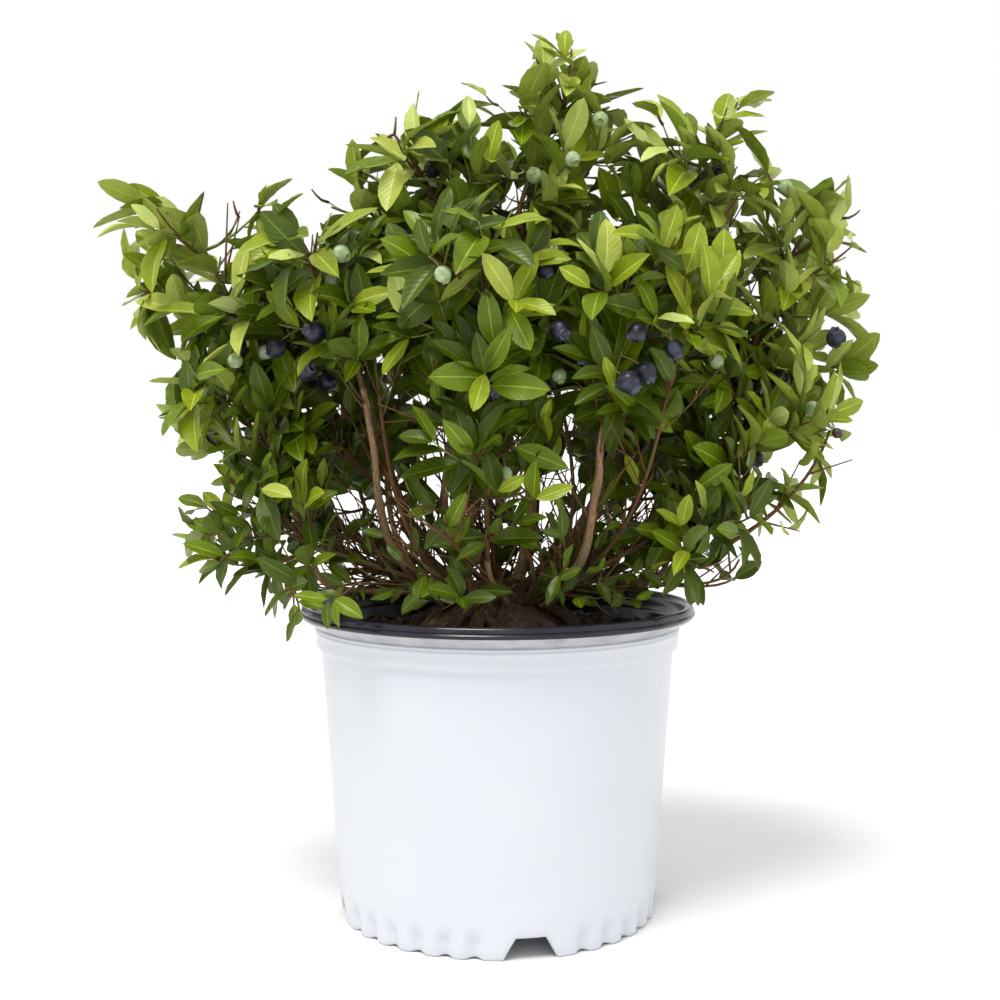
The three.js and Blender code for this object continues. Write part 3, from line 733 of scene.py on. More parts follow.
def make_limbs():
    pile = Pile()
    for order, (name, (_, radii)) in enumerate(LIMBS.items()):
        curve, wander = CURVES[name], rough_noise(100 + order, 10, 22, 70)
        shares = np.linspace(0, 1, max(12, int(curve.length / 2.4)))
        points = curve.at(shares)
        calm = np.minimum(1, np.minimum(shares, 1 - shares) * 6)[:, None]
        points += calm * np.stack([wander(points), wander(points + 91), wander(points - 57)], -1) * 1.3
        thick = np.interp(shares, [0, 1], radii) * SLIM
        if name in STEMS:
            thick *= 1 + 0.45 * np.exp(-shares * curve.length / 7)
        tube(pile, points, thick, 18, limb_relief(order))
    bark = bark_shader("bark_stem", (0.07, 0.036, 0.018), (0.32, 0.18, 0.095), (0.72, 0.49, 0.31),
                       (0.19, 0.18, 0.1))
    pile.build("stems_and_boughs", [bark], "bark", list(LIMBS))


def make_woody_crown():
    """A lumpy heart, wrapped in burls that run from its foot to its top."""
    radius, height = np.array(arc_steps(CROWN_PROFILE, 0.03)).T[..., None]
    turns = np.arange(CROWN_SIDES) / CROWN_SIDES * TURN
    knob = 1 + CROWN.knobs * (0.7 * np.sin(5 * turns + 0.8) + 0.5 * np.sin(3 * turns - 1))
    x = radius * np.cos(turns) * CROWN.length * knob * BURLS.heart
    y = radius * np.sin(turns) * CROWN.width * knob * BURLS.heart
    bump = 1 + CROWN.bumps * np.sin(x / CROWN.bump_length) * np.cos(y / CROWN.bump_width)
    rings = np.stack([x, y, SOIL_TOP + GAP + height * CROWN.height * bump * BURLS.heart], -1)
    lumps, grooves = rough_noise(21, 30, 9, 34), rough_noise(22, 40, 2.5, 7)
    swell = lumps(rings) * 3.6 + grooves(rings * [1, 1, 0.35]) * 2.4
    rings += unit(rings - UP * (SOIL_TOP - 12)) * (swell * np.minimum(height * 8, 1))[..., None]
    uvs = np.stack(np.broadcast_arrays(turns / TURN * 9, height * 1.4), -1)
    pile = Pile()
    pile.add_rings(rings, (0, 0, SOIL_TOP + GAP), rings[-1].mean(0), uvs=uvs)
    chance = random.Random(SEEDS.burls)
    for k in range(BURLS.count):
        turn = k * TURN / BURLS.count + chance.uniform(-0.2, 0.2)
        row = []
        for share in np.linspace(0.1, 1.02, 8):
            out = compass(turn + BURLS.twist * math.sin(share * 4 + k))
            rise = BURLS.proud + CROWN.height * math.cos(min(share, 1) * math.pi / 2) ** 0.7
            row.append(out * [CROWN.length, CROWN.width, 0] * share + UP * (SOIL_TOP + rise))
        thick = chance.uniform(*BURLS.radii)
        tube(pile, bezier(*row).points, np.linspace(thick, thick * 0.5, 41), 18, limb_relief(300 + k))
    bark = bark_shader("bark_old", (0.018, 0.011, 0.008), (0.09, 0.052, 0.032), (0.4, 0.26, 0.16),
                       (0.1, 0.085, 0.06))
    pile.build("woody_crown_bark", [bark], "bark", ["woody_crown"])


# ---------------- foliage

PLANE_SLACK = 9  # how far the twigs of neighbouring masses may reach past each other
REACH = 140  # the longest that a twig may be
SHOOTS = 11
# Twigs: radii at the root and at the tip, then lengths.
TWIG = Sizes(stem=(1.75, 0.95), shoot=(1.15, 0.6), twig=(0.75, 0.45), far=(1, 0.5), low=(0.9, 0.45),
             fork=(0.5, 0.3), bare=(1.5, 0.8), bare_side=(0.7, 0.4), lone=(0.8, 0.4),
             least_shoot=9, least_twig=7, lengths=(14, 36), side_lengths=(16, 58), forks_from=34)
CELL = 10  # the side of the cells in which leaves look for their neighbours
# Leaves stand room apart, airy more at the crown's surface and low_airy more low down, and clear
# of the limbs. upward and spread turn their tips, and facing_up and facing_spread their faces.
LEAF = Sizes(length=38.5, width=0.44, pitch=8.2, room=6, airy=5, clear=3.5,
             upward=0.2, spread=0.6, facing_up=0.75, facing_spread=0.75, low_small=0.28,
             low_airy=2, fresh=0.18, thick=0.32, tries=4)
# Places along a leaf that are tested for room.
LEAF_SPOTS = np.array([[0.3], [0.55], [0.8], [1]])
STEPS = ["deep", "mid", "olive", "light"]
STRAY_SHARE = 0.5  # the leaves that are a step darker or lighter than their spray
# How far out a spray counts as being, which sets the painted shade and painted light of its leaves: its
# distance from the middle as a share of the reach, less where it is low and in the core, where shade
# falls, and more on a flank and on top, where light falls.
PAINTED_SHADE_AND_LIGHT = Sizes(middle=(0, 20, 310), reach=(235, 290, 215), scatter=0.22, low=0.45, flank=0.24,
                top=0.1, core=0.16)
# Sprays up to a limit of how far out they count as being: one kind, its share, and the other kind.
TINTS = [(0.78, "olive", 0.25, "mid"), (1, "mid", 0.6, "olive"), (math.inf, "light", 0.4, "olive")]
DEEP_LIMIT = 0.52
CROWN_HEART = np.array([0, 20, 320])
CROWN_REACH = np.array([245, 170, 230])
CROWN_SWELL = np.array([1, 2, 1.3])  # how fast the crown's surface turns in each direction

# The crown's outline from the front: x and z on the plane through the pot's axis.
OUTLINE = np.array([
    (-132, 166), (-150, 196), (-184, 210), (-203, 224), (-206, 250), (-202, 264), (-178, 274),
    (-194, 288), (-216, 302), (-213, 350), (-230, 366), (-234, 384), (-233, 424), (-249, 440),
    (-248, 462), (-216, 460), (-202, 441), (-194, 446), (-174, 462), (-160, 450), (-150, 458),
    (-130, 468), (-120, 452), (-108, 478), (-74, 490), (-60, 522), (-40, 498), (-30, 508),
    (-22, 525), (-6, 526), (2, 507), (13, 530), (14, 546), (30, 556), (47, 556), (60, 532),
    (72, 516), (90, 521), (108, 512), (122, 502), (132, 510), (150, 522), (168, 524), (170, 505),
    (158, 490), (178, 469), (194, 460), (216, 465), (248, 455), (230, 440), (230, 428), (244, 416),
    (230, 396), (229, 372), (243, 358), (233, 336), (223, 304), (204, 292), (214, 276), (220, 263),
    (212, 254), (188, 245), (172, 226), (154, 210), (124, 194), (90, 172),
], float)
# Where stems and twigs show and leaves are few: x, z and radius on the same plane.
VEILS = [(-72, 236, 34), (58, 236, 34), (-50, 268, 26), (34, 268, 26), (-6, 250, 20), (-104, 222, 20)]
VEILED_SHARE = 0.2
# Sky seen through the crown: x, z and radius on the same plane.
OPENINGS = [
    (-96, 258, 11), (-36, 300, 9), (11, 300, 9), (90, 258, 11), (-40, 222, 10), (-12, 212, 9),
    (20, 222, 10), (-62, 240, 9), (52, 244, 9), (-98, 446, 7), (196, 232, 10), (60, 470, 6),
    (-20, 462, 6), (-176, 398, 6), (-60, 400, 5), (84, 446, 6), (101, 498, 8), (132, 508, 8),
    (-200, 428, 5), (149, 511, 6), (78, 508, 6), (154, 479, 8), (-106, 457, 13), (-122, 443, 12),
    (-119, 420, 8), (-165, 441, 12), (-182, 436, 6), (12, 453, 11), (227, 441, 10), (-234, 412, 5),
    (-172, 415, 9), (2, 511, 9), (226, 416, 7), (149, 444, 6), (182, 292, 8), (172, 283, 6),
    (190, 282, 6), (-177, 268, 7), (150, 222, 7), (134, 211, 8), (-160, 206, 7), (-63, 500, 9),
]
# Sprays that carry the outline to its furthest tips: the point that each one ends at.
FAR_SPRAYS = [
    (-240, -8, 455), (-214, -20, 460), (-244, 0, 412), (165, -10, 472), (174, -10, 458),
    (-228, -12, 372), (-166, -30, 461), (-130, -20, 466), (-140, -16, 456), (-148, -8, 440),
    (36, -8, 542), (150, -16, 450), (140, -20, 440), (-206, -14, 250), (-200, -10, 262),
    (230, -6, 338), (224, -6, 322), (226, -10, 296), (-18, -6, 522), (-62, 0, 518), (32, 0, 554),
    (46, -12, 554), (16, -20, 542), (58, -8, 530), (165, -6, 522), (152, -10, 518), (92, -12, 519),
    (246, 4, 452), (214, -8, 462), (242, 0, 418), (238, 6, 390), (240, -6, 352), (232, 0, 306),
    (230, -4, 278), (214, 2, 264), (-217, -10, 318), (-192, -8, 288), (-198, -14, 240),
    (-178, -40, 216), (-146, -60, 200), (-108, -92, 182), (-118, -80, 190), (44, -60, 335),
    (70, -66, 320), (28, -70, 348), (168, -20, 226), (148, -30, 214), (-240, -8, 396),
    (-237, -12, 385), (-238, -6, 437), (207, -8, 268), (216, -6, 262), (-196, -22, 228),
    (22, -10, 540), (-76, -16, 482), (112, -14, 482), (-202, -20, 252), (222, -10, 336),
]
LOW_SPRAYS = Sizes(count=46, inner=66, outer=121, lowest=202, highest=234)
# Berries that can be made out: x and z on the plane through the pot's axis, by ripeness.
SEEN_BERRIES = {
    "ripe": [(-139.5, 357.9), (-120.5, 342.7), (-108.5, 336.4), (-114.8, 367.4), (111.8, 357.3),
             (93.4, 342.7), (82.7, 336.4), (88.4, 367.4), (39.6, 368.7), (213.7, 363.6)],
    "dry": [(215, 304)],
    "green": [(-34.4, 404.1), (23.2, 465.5), (47.2, 475.7), (-65.5, 340.8), (39, 340.8),
              (-165.5, 349.7), (138.4, 349.1), (64.3, 500.3), (-98.4, 416.8)],
}
OTHER_CLUSTERS = 34


def in_outline(points):
    """Whether points are seen inside the crown's outline, by the even-odd rule."""
    seen = seen_at(points)
    start, end = OUTLINE, np.roll(OUTLINE, -1, axis=0)
    x, z = seen[:, :1], seen[:, 1:]
    crosses = (start[:, 1] > z) != (end[:, 1] > z)
    rise = np.where(start[:, 1] == end[:, 1], 1.0, end[:, 1] - start[:, 1])
    meets = start[:, 0] + (z - start[:, 1]) * (end[:, 0] - start[:, 0]) / rise
    return ((crosses & (x < meets)).sum(1) % 2).astype(bool)


def in_discs(seen, discs):
    """Whether any of the places seen lies in a disc of x, z and radius."""
    return any((np.hypot(seen[:, 0] - x, seen[:, 1] - z) < radius).any() for x, z, radius in discs)


def off_pot(points, above=2, beside=3):
    """Whether points are clear of the pot. It is also the space of what grows outside the masses."""
    beyond = np.hypot(points[:, 0], points[:, 1]) > RIM_RADIUS + beside
    return beyond | (points[:, 2] > POT_HEIGHT + above)


def space_of(name):
    """A mass's space: an ellipsoid cut by planes between it and its neighbours."""
    middle, size = np.array(MASSES[name], float)
    reach = size.mean()
    planes = []
    for other, (place, extent) in MASSES.items():
        if other != name:
            apart = place - middle
            span = norm(apart)
            offset = (span**2 + reach**2 - np.mean(extent) ** 2) / (2 * span) - GAP + PLANE_SLACK
            if offset < size.max():
                planes.append((*(apart / span), offset))
    planes = np.array(planes)

    def inside(points):
        away = points - middle
        fits = ((away / size) ** 2).sum(1) < 1
        return fits & off_pot(points, 3, 4) & (away @ planes[:, :3].T < planes[:, 3]).all(1)

    return inside


def reach_of(inside, start, along):
    """How far one may go from a point before leaving a space or the outline."""
    steps = np.arange(2, REACH, 2)
    points = start + along * steps[:, None]
    fits = inside(points) & in_outline(points)
    return float(REACH if fits.all() else steps[np.argmin(fits)] - 2)


def sprout(base, along, length, sag, rise, steps):
    """A twig that sets out along a heading, sags, and turns up towards its tip."""
    tip = base + along * length + UP * length * rise
    return bezier(base, base + along * length * 0.5 - UP * length * sag, tip, steps=steps)


def sideways(path, share, turn):
    """A path's own direction, and one square to it that is turned round it."""
    tangent = path.tangent(share)
    flat = unit(np.cross(tangent, UP))
    return tangent, flat * math.cos(turn) + np.cross(flat, tangent) * math.sin(turn)


def jitter(chance, size):
    return np.array([chance.uniform(-size, size) for _ in range(3)])


def kind_at(point, chance):
    """The green of a spray, with painted shade and painted light: deep inside and low down, where shade
    falls, and lighter on the flanks and on top, where light falls.
    """
    x, _, z = point
    out = norm((point - PAINTED_SHADE_AND_LIGHT.middle) / PAINTED_SHADE_AND_LIGHT.reach)
    out += chance.uniform(-PAINTED_SHADE_AND_LIGHT.scatter, PAINTED_SHADE_AND_LIGHT.scatter) - PAINTED_SHADE_AND_LIGHT.low * between(z, 340, 230)
    if z > 280:
        out += PAINTED_SHADE_AND_LIGHT.flank * between(abs(x + 25), 105, 185)
    if z > 420:
        out += PAINTED_SHADE_AND_LIGHT.top
    out -= PAINTED_SHADE_AND_LIGHT.core * between(abs(x), 150, 90) * between(z, 420, 360)
    if out < DEEP_LIMIT:
        return "deep"
    for limit, kind, share, other in TINTS:
        if out < limit:
            return kind if chance.random() < share else other


class Bush:
    """Everything that grows: twigs as paths, and leaves and berries as rows of numbers."""

    def __init__(self):
        self.twigs, self.sites, self.leaves, self.berries = [], [], [], []
        self.centres = {}
        shares = np.linspace(0, 1, 60)
        self.limb_points = np.concatenate([CURVES[name].at(shares) for name in LIMBS])
        self.limb_radii = np.concatenate([np.interp(shares, [0, 1], radii) * SLIM
                                          for _, radii in LIMBS.values()])

    # -- twigs

    def twig(self, path, thick, thin, kind="brown"):
        """Notes a twig with its radii at the root and at the tip."""
        self.twigs.append((path, thick, thin, kind))
        return path

    def twig_points(self):
        return np.concatenate([row[0].points for row in self.twigs])

    def grow_mass(self, name, limb, seed):
        """The source's rule, carried one step further: stem, shoots, and twigs on the shoots."""
        draw, chance = seeded_random(seed), random.Random(seed)
        inside = space_of(name)
        middle, size = np.array(MASSES[name], float)
        start, heading = limb.at(1), limb.tangent(1)
        crest = middle + UP * size[2] * 0.5 + unit(middle * [1, 1, 0]) * size[0] * 0.15
        bend = start + heading * norm(crest - start) * 0.45
        stem = self.twig(bezier(start - heading * 1.5, bend, crest, steps=16), *TWIG.stem)
        self.ask_leaves(inside, stem, 0.45, kind_at(stem.at(0.8), chance), chance)
        for k in range(SHOOTS):
            rank = (k + 0.5) / SHOOTS
            base = stem.at(0.06 + 0.84 * rank)
            turn = k * GOLDEN + (draw() - 0.5) * 0.6
            along = unit(compass(turn) + UP * (-0.6 + 1.5 * rank + (draw() - 0.5) * 0.4))
            length = reach_of(inside, base, along) - LEAF.length * chance.uniform(0.45, 0.8)
            if length < TWIG.least_shoot:
                continue
            path = sprout(base, along, length, 0.1, 0.12, 10)
            shoot = self.twig(path, *TWIG.shoot, "brown" if chance.random() < 0.75 else "green")
            kind = kind_at(shoot.points[-1], chance)
            self.ask_leaves(inside, shoot, 0.35, kind, chance)
            self.grow_twigs(inside, shoot, kind, chance)

    def grow_twigs(self, inside, shoot, kind, chance):
        count = int(shoot.length / 11)
        for i in range(count):
            share = 0.15 + 0.7 * (i + chance.random()) / count
            tangent, around = sideways(shoot, share, i * GOLDEN + chance.uniform(-0.5, 0.5))
            along = unit(tangent * 0.8 + around + UP * 0.35)
            base = shoot.at(share)
            room = reach_of(inside, base, along) - LEAF.length * 0.5
            length = min(room, chance.uniform(*TWIG.lengths))
            if length < TWIG.least_twig:
                continue
            path = sprout(base, along, length, 0.05, 0.1, 6)
            if chance.random() < 0.6:
                kind = kind_at(path.points[-1], chance)
            twig = self.twig(path, *TWIG.twig, "green" if chance.random() < 0.7 else "brown")
            self.ask_leaves(inside, twig, 0.35, kind, chance, 0.92)

    def grow_canes(self):
        """Thin stems from the woody crown up into the masses, beside the main ones."""
        chance = random.Random(SEEDS.canes)
        for middle, size in MASSES.values():
            for _ in range(2 if middle[2] < 320 else 1):
                out = compass(math.atan2(middle[1], middle[0]) + chance.uniform(-0.7, 0.7))
                start = on_crown(out, chance.uniform(0.2, 0.75), 1.02)
                end = middle + jitter(chance, 0.45) * size - UP * size[2] * 0.3
                if math.hypot(end[0], end[1]) < RIM_RADIUS + 6:
                    end[2] = max(end[2], POT_HEIGHT + 20)
                leave = out + UP * chance.uniform(0.35, 1.1)
                path = arch(start, leave, end, UP + out * 0.4, (0.42, 0.3), steps=24)
                cane = self.twig(path, chance.uniform(1.3, 2.1), 0.7)
                self.grow_side_twigs(cane, chance, 16, 0.22)
                # leaves on the canes, inside the crown, take the deep green of painted shade
                self.ask_leaves(off_pot, cane, 0.72, "deep", chance, 0.8)

    def grow_side_twigs(self, path, chance, pitch, leafy):
        """Thin side twigs, some with a few leaves and most of them bare."""
        for _ in range(int(path.length / pitch)):
            share = chance.uniform(0.12, 0.95)
            tangent, around = sideways(path, share, chance.uniform(0, TURN))
            along = unit(tangent * 0.8 + around * chance.uniform(0.6, 1.2) + UP * 0.25)
            base, length = path.at(share), chance.uniform(*TWIG.side_lengths)
            knee = base + along * length * 0.5 + jitter(chance, 4)
            tip = base + along * length + UP * length * 0.15 + jitter(chance, 3)
            if tip[2] < POT_HEIGHT + 6 or knee[2] < POT_HEIGHT + 2 or not in_outline([knee, tip]).all():
                continue
            twig = self.twig(bezier(base, knee, tip, steps=8), chance.uniform(0.55, 0.95), 0.32)
            if length > TWIG.forks_from:
                _, fork = sideways(twig, 0.5, chance.uniform(0, TURN))
                end = twig.at(0.5) + unit(twig.tangent(0.5) + fork * 0.8) * length * 0.4
                self.twig(bezier(twig.at(0.5), end, steps=4), *TWIG.fork)
            # leaves on the side twigs, low and inside the crown, take the deep green of painted shade
            if chance.random() < leafy:
                self.ask_leaves(off_pot, twig, 0.5, "deep", chance, chance.uniform(0.55, 0.8))

    def grow_far_sprays(self):
        chance = random.Random(SEEDS.far)
        points = self.twig_points()
        for target in np.array(FAR_SPRAYS, float):
            above = np.maximum(points[:, 2] - target[2], 0)
            base = points[np.argmin(norm(points - target, axis=1) + 0.5 * above)]
            span = norm(target - base)
            end = target - unit(target - base) * min(LEAF.length * 0.85, span * 0.6)
            sag = 0.12 if target[2] > base[2] else -0.08
            path = bezier(base, base + (end - base) * 0.5 - UP * span * sag, end, steps=8)
            kind, size = kind_at(target, chance), 1.0
            # below the rim a spray takes the deep green of painted shade, and smaller leaves
            if target[2] < POT_HEIGHT:
                kind, size = "deep", 0.75
            self.ask_leaves(off_pot, self.twig(path, *TWIG.far), 0.3, kind, chance, size, showy=True)

    def grow_low_sprays(self):
        """Low twigs with small leaves, all round between the woody crown and the rim."""
        chance = random.Random(SEEDS.low)
        low = LOW_SPRAYS
        for k in range(low.count):
            out = compass(k * GOLDEN)
            if out[1] < -0.9:
                continue
            base = out * CROWN.width * 0.75 + UP * (SOIL_TOP + 16)
            tip = out * chance.uniform(low.inner, low.outer)
            tip += UP * chance.uniform(low.lowest, low.highest)
            path = bezier(base, base + (out + UP) * 14, tip - out * 10, tip, steps=10)
            twig = self.twig(path, *TWIG.low)
            self.grow_side_twigs(twig, chance, 14, 0.6)
            # the low sprays' leaves take the deep green of painted shade
            self.ask_leaves(off_pot, twig, 0.4, "deep", chance, chance.uniform(0.55, 0.75))

    def grow_bare_twigs(self):
        chance = random.Random(SEEDS.bare)
        for name in LIMBS:
            self.grow_side_twigs(CURVES[name], chance, 10, 0.3)
        path = bezier((140, -14, 232), (192, -22, 262), (206, -20, 306), steps=14)
        bare = self.twig(path, *TWIG.bare)
        for share, tip in ((0.4, (186, -30, 288)), (0.7, (219, -26, 288)), (0.3, (186, -30, 244))):
            twig = self.twig(bezier(bare.at(share), tip, steps=4), *TWIG.bare_side)
            self.ask_leaves(off_pot, twig, 0.5, "light", chance, 0.85)
        for tip in ((-164, -30, 444), (-158, -24, 436)):
            points = self.twig_points()
            base = points[np.argmin(norm(points - tip + UP * 30, axis=1))]
            self.twig(bezier(base, tip, steps=5), *TWIG.lone)

    # -- berries

    def set_berries(self):
        """The berries that the photo shows, then small clusters all round."""
        chance = random.Random(SEEDS.berries)
        points = self.twig_points()
        seen = seen_at(points)
        for ripeness, places in SEEN_BERRIES.items():
            for x, z in places:
                near_by = np.hypot(seen[:, 0] - x, seen[:, 1] - z)
                close = points[near_by < max(20, near_by.min() + 1)]
                base = close[np.argmin(close[:, 1])]
                self.berries.append((place_at(x, z, base[1] - 7), base, ripeness, chance.random()))
        # leaves nearer than a depth stay out of the disc in which each of these is seen
        self.shown = [(place[1] + 6, (*seen_at(place)[0], 8)) for place, _, _, _ in self.berries]
        carriers = [path for path, thick, _, _ in self.twigs if thick < 1.2 and path.points[-1, 2] > 280]
        for path in chance.sample(carriers, OTHER_CLUSTERS):
            ripeness = "ripe" if chance.random() < 0.45 else "green"
            for k in range(chance.choice((1, 1, 2, 3, 4))):
                base = path.at(0.45 + 0.1 * k)
                out = unit(base * [1, 1, 0]) * chance.uniform(5, 10)
                place = base + out + jitter(chance, 6) - UP * chance.uniform(5, 11)
                if min(norm(place - other[0]) for other in self.berries) > 13:
                    self.berries.append((place, base, ripeness, chance.random()))
        self.berry_places = np.array([row[0] for row in self.berries])

    # -- leaves

    def ask_leaves(self, inside, path, first, kind, chance, size=1.0, showy=False):
        """Notes where leaves stand on a twig. They grow once twigs and berries have their places."""
        count = max(2, round(path.length * (1 - first) / LEAF.pitch))
        for i in range(count):
            share, turn = first + (0.9 - first) * i / count, i * GOLDEN + chance.uniform(-0.4, 0.4)
            lean, scale = chance.uniform(0.8, 1.5), size * chance.uniform(0.7, 1.14)
            self.sites.append((inside, path, share, turn, lean, scale, kind, chance.random()))
        for i in range(5 if showy else 4):
            fresh = chance.random() < LEAF.fresh and i > 0
            young = ("olive" if kind == "deep" else "young") if fresh else kind
            share, turn = 0.9 + 0.03 * i, i * GOLDEN + chance.uniform(-0.5, 0.5)
            lean, scale = chance.uniform(0.4, 0.95), size * (1.0 - 0.12 * i)
            self.sites.append((inside, path, share, turn, lean, scale, young, chance.random()))

    def crowded(self, point, room):
        cell = np.floor(point / CELL).astype(int)
        return any(norm(other - point) < room for step in np.ndindex(3, 3, 3)
                   for other in self.centres.get(tuple(cell + step - 1), ()))

    def blocked(self, spots, luck):
        """Whether a leaf would fill an opening or hide a berry."""
        seen, nearest = seen_at(spots), spots[:, 1].min()
        berries = [disc for depth, disc in self.shown if nearest < depth]
        veiled = luck > VEILED_SHARE and in_discs(seen[1:2], VEILS)
        return (veiled or in_discs(seen, OPENINGS + berries)
                or (norm(self.berry_places - spots[1], axis=1) < 9).any())

    def fits(self, inside, spots, room, luck):
        """Whether a leaf may stand where its spots are."""
        within = inside(spots[1:]).all() and in_outline(spots[:3]).all()
        if not within or self.crowded(spots[1], room):
            return False
        from_limbs = norm(self.limb_points - spots[1], axis=1) - self.limb_radii
        return from_limbs.min() >= LEAF.clear and not self.blocked(spots, luck)

    def grow_leaves(self):
        chance = random.Random(SEEDS.leaves)
        for inside, path, share, turn, lean, size, kind, luck in self.sites:
            root = path.at(share)
            outward = unit((root - CROWN_HEART) * CROWN_SWELL * [1, 1, root[2] > CROWN_HEART[2]])
            low = between(root[2], 300, 230)
            length = LEAF.length * size * (1 - LEAF.low_small * low)
            for attempt in range(LEAF.tries):
                tangent, around = sideways(path, share, turn + attempt * GOLDEN)
                along = unit(tangent + around * (lean + 0.1 * attempt) + UP * LEAF.upward)
                turned_in = max(along @ outward, 0) * abs(outward[1]) * LEAF.spread
                along = unit(along - outward * turned_in)
                spots = root + along * length * LEAF_SPOTS
                out = norm((spots[1] - CROWN_HEART) / CROWN_REACH)
                room = LEAF.room + LEAF.airy * between(out, 0.6, 0.9) + LEAF.low_airy * low
                if not self.fits(inside, spots, room, luck):
                    continue
                face = outward + UP * LEAF.facing_up + jitter(chance, LEAF.facing_spread)
                if kind in STEPS and chance.random() < STRAY_SHARE:
                    step = STEPS.index(kind) + chance.choice((-1, 1))
                    kind = STEPS[min(max(step, 0), len(STEPS) - 1)]
                self.leaves.append((root, along, face, length, kind, luck, chance.random()))
                cell = tuple(np.floor(spots[1] / CELL).astype(int))
                self.centres.setdefault(cell, []).append(spots[1])
                break


# Stations along a leaf, and the ring that crosses it there: the place between the edges, the
# part of the thickness below the surface, and the material of the strip that starts there.
LEAF_STATIONS = np.array([0.04, 0.1, 0.22, 0.38, 0.56, 0.74, 0.9])
LEAF_RING = np.array([(-1, 0, 0), (-0.5, 0, 0), (-0.06, 0, 2), (0.06, 0, 0), (0.5, 0, 0), (1, 0, 1),
                      (0.5, 1, 1), (0, 1.7, 1), (-0.5, 1, 1)])


def build_leaves(pile, rows):
    """Adds leaves, all at once. Their materials are 0 upper side, 1 underside and 2 midrib."""
    root, along, face, length, _, luck, fate = (np.array(column) for column in zip(*rows))
    side = unit(np.cross(along, face))
    over = np.cross(side, along)
    length, luck, fate = (column[:, None, None] for column in (length, luck, fate))
    curl = 0.08 + 0.62 * luck**1.4
    fold = 0.1 + 0.42 * fate
    s = LEAF_STATIONS[:, None]
    v, sink, strip_mats = LEAF_RING.T
    # a leaf is widest near its middle, and some have blunter tips than others
    blade = np.clip((s - s[0]) / (1 - s[0]), 0.006, 1)
    w = blade**0.78 * (1 - blade) ** (0.74 + 0.3 * fate)
    w /= w.max(axis=1, keepdims=True)
    half = length * LEAF.width / 2 * (0.86 + 0.26 * luck) * w
    wave = 0.6 * np.sin(s * 11 + fate * 40) * np.abs(v) * w
    lift = np.abs(v) ** 1.25 * half * np.sin(fold) + wave - sink * LEAF.thick

    def bent(s, lift):
        """How far ahead and how high a point is on the curled leaf."""
        bend = curl * s
        return (length * np.sin(bend) / curl + lift * np.sin(bend),
                lift * np.cos(bend) - length * (1 - np.cos(bend)) / curl)

    ahead, height = bent(s, lift)
    verts = (root[:, None, None] + ahead[..., None] * along[:, None, None]
             + (v * half * np.cos(fold))[..., None] * side[:, None, None]
             + height[..., None] * over[:, None, None])
    ahead, height = bent(1, 0)
    ends = np.stack([root - along * 0.4, root + ahead[:, 0] * along + height[:, 0] * over], 1)
    count, rings, sides = verts.shape[:3]
    verts = np.concatenate([verts.reshape(count, -1, 3), ends], 1)
    quads, tris = (faces + (np.arange(count) * (rings * sides + 2))[:, None, None]
                   for faces in ring_faces(rings, sides))
    rims = [*np.tile(np.abs(v) == 1, rings), True, True]
    uvs = np.stack(np.broadcast_arrays(s, v / 2 + 0.5), -1).reshape(-1, 2)
    uvs = np.concatenate([uvs, [(0, 0.5), (1, 0.5)]])
    strip_mats = strip_mats.astype(int)
    pile.add(verts.reshape(-1, 3), quads.reshape(-1, 4), tris, np.tile(strip_mats, count * (rings - 1)),
             np.tile(strip_mats, count * 2), np.tile(uvs, (count, 1)), np.tile(rims, count))


# Upper side, underside and midrib of the leaves of each kind of spray. deep, mid, olive and light run
# from painted shade to painted light, handed out by where a spray stands, with some leaves a random step
# off; young is the paler green of fresh growth.
GREENS = {
    "deep": ((0.052, 0.086, 0.001), (0.09, 0.13, 0.014), (0.14, 0.195, 0.016)),
    "mid": ((0.118, 0.18, 0.002), (0.168, 0.238, 0.018), (0.285, 0.37, 0.04)),
    "olive": ((0.228, 0.29, 0.008), (0.268, 0.342, 0.045), (0.44, 0.5, 0.085)),
    "light": ((0.365, 0.425, 0.06), (0.37, 0.44, 0.09), (0.555, 0.61, 0.19)),
    "young": ((0.44, 0.515, 0.125), (0.44, 0.52, 0.15), (0.58, 0.64, 0.26)),
}
LEAVES_PER_PIECE = 1400


def make_leaves(bush):
    replaced = [f"foliage_{mass}" for mass in MASSES]
    for kind, (upper, under, rib) in GREENS.items():
        rows = [row for row in bush.leaves if row[4] == kind]
        materials = [
            leaf_shader(f"leaf_{kind}", upper, rib, 0.3, False),
            leaf_shader(f"leaf_{kind}_under", under, rib, 0.6, True),
            leaf_shader(f"leaf_{kind}_rib", rib, rib, 0.45, False),
        ]
        for part, first in enumerate(range(0, len(rows), LEAVES_PER_PIECE)):
            pile = Pile()
            build_leaves(pile, rows[first:first + LEAVES_PER_PIECE])
            pile.build(f"leaves_{kind}_{part}", materials, "foliage", replaced)
            replaced = []


def make_twigs(bush):
    browns, greens = Pile(), Pile()
    for path, thick, thin, kind in bush.twigs:
        shares = np.linspace(0, 1, max(4, int(path.length / 6)))
        radii = np.interp(shares, [0, 1], [thick, thin])
        radii[1:-1:2] *= 1.12
        tube(browns if kind == "brown" else greens, path.at(shares), radii, 7 if thick > 1.2 else 5)
    brown = bark_shader("bark_twig", (0.036, 0.017, 0.009), (0.135, 0.065, 0.027), (0.36, 0.21, 0.1),
                        (0.13, 0.13, 0.05))
    browns.build("twigs_brown", [brown], "bark")
    green = speckled("twig_green", (0.19, 0.22, 0.05), [(0.35, (0.12, 0.15, 0.03)),
                     (0.6, (0.22, 0.25, 0.06)), (0.75, (0.27, 0.17, 0.07))], 60, 3)
    green.bump(green.noise(400, 2), 0.3, 0.0004)
    greens.build("twigs_green", [green.material], "foliage")


# ---------------- berries

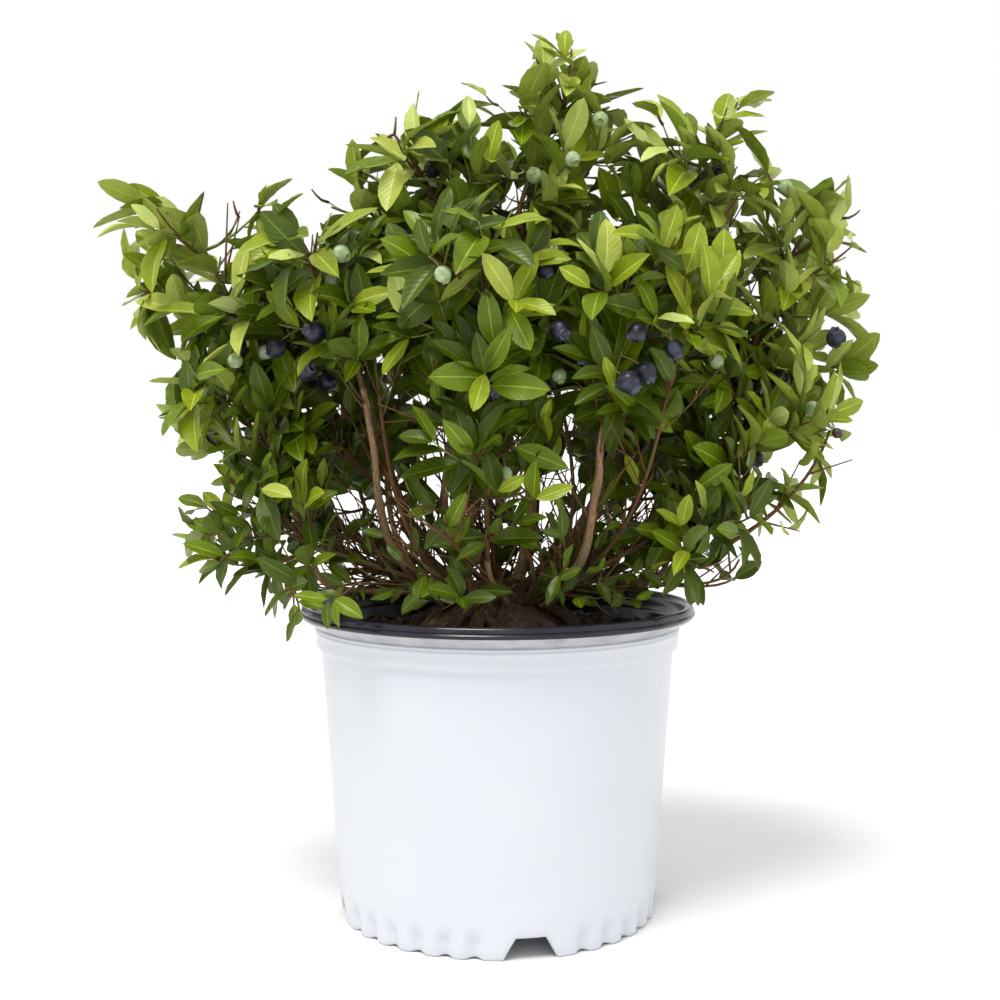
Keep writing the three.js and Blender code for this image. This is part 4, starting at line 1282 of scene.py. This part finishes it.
# From the stalk's end to the middle of the calyx: radius and height as shares of the radius.
BERRY_PROFILE = [(0.12, 0.95), (0.4, 0.86), (0.68, 0.66), (0.88, 0.38), (0.97, 0.06), (0.93, -0.3),
                 (0.78, -0.6), (0.6, -0.79), (0.5, -0.87), (0.43, -1.06), (0.34, -1.02), (0.28, -0.84),
                 (0.14, -0.78)]
BERRY_SIDES = 20
CALYX_FIRST = 8  # the first row of the profile that belongs to the calyx
# Radius and wrinkles, then for the skin and for the calyx: dark, bloom and where the bloom starts.
BERRY_KINDS = {
    "ripe": (6.3, 0.004, ((0.008, 0.008, 0.016), (0.04, 0.046, 0.085), 0.46),
             ((0.03, 0.03, 0.05), (0.12, 0.13, 0.2), 0.45)),
    "green": (4.9, 0.004, ((0.24, 0.35, 0.14), (0.42, 0.5, 0.33), 0.42),
              ((0.24, 0.3, 0.1), (0.34, 0.36, 0.16), 0.5)),
    "dry": (3.6, 0.05, ((0.035, 0.018, 0.015), (0.1, 0.06, 0.06), 0.5),
            ((0.05, 0.03, 0.02), (0.11, 0.08, 0.06), 0.5)),
}


def berry(pile, place, hang, radius, wrinkles):
    side = unit(np.cross(hang, [1.0, 0.2, 0.1]))
    turns = np.arange(BERRY_SIDES) / BERRY_SIDES * TURN
    circle = np.cos(turns)[:, None] * side + np.sin(turns)[:, None] * np.cross(hang, side)
    rows = np.arange(len(BERRY_PROFILE))[:, None]
    across, up = np.array(BERRY_PROFILE).T[..., None]
    # the calyx's rim has five lobes
    rim, lobes = (rows > CALYX_FIRST) & (rows < CALYX_FIRST + 3), 0.5 + 0.5 * np.cos(5 * turns)
    out = across * (1 + wrinkles * np.sin(7 * turns + rows)) + 0.12 * lobes * rim
    up = up - 0.1 * (lobes - 0.5) * rim
    rings = place + radius * (out[..., None] * circle - up[..., None] * hang)
    pile.add_rings(rings, place - hang * radius * 0.97, place + hang * radius * 0.76,
                   np.repeat(rows[:-1] >= CALYX_FIRST, BERRY_SIDES), np.repeat([0, 1], BERRY_SIDES))


def make_berries(bush):
    chance, stalks = random.Random(SEEDS.hang), Pile()
    for ripeness, (size, wrinkles, skin, calyx) in BERRY_KINDS.items():
        pile = Pile()
        for place, base, _, luck in (row for row in bush.berries if row[2] == ripeness):
            radius = size * (0.9 + 0.22 * luck)
            hang = unit(unit(place - base) + UP * -0.25 + jitter(chance, 0.25))
            berry(pile, place, hang, radius, wrinkles)
            top = place - hang * radius * 0.9
            stalk = bezier(base, base + (top - base) * 0.5 + UP * 1.5, top - hang * 1.5, top, steps=6)
            tube(stalks, stalk.points, 0.5, 5)
        materials = [berry_shader(f"berry_{ripeness}", *skin), berry_shader(f"calyx_{ripeness}", *calyx)]
        pile.build(f"berries_{ripeness}", materials, "foliage")
    green = speckled("stalk_green", (0.2, 0.22, 0.06),
                     [(0.4, (0.13, 0.17, 0.04)), (0.65, (0.3, 0.18, 0.08))], 90, 3, 0.55)
    stalks.build("berry_stalks", [green.material], "foliage")


# ---------------- run

make_camera()
make_light()
make_floor()
make_pot()
make_mix()
make_woody_crown()
make_limbs()
bush = Bush()
for limb, (mass, _) in LIMBS.items():
    bush.grow_mass(mass, CURVES[limb], list(MASSES).index(mass) + 11)
bush.grow_far_sprays()
bush.grow_low_sprays()
bush.set_berries()
bush.grow_canes()
bush.grow_bare_twigs()
bush.grow_leaves()
make_twigs(bush)
make_leaves(bush)
make_berries(bush)
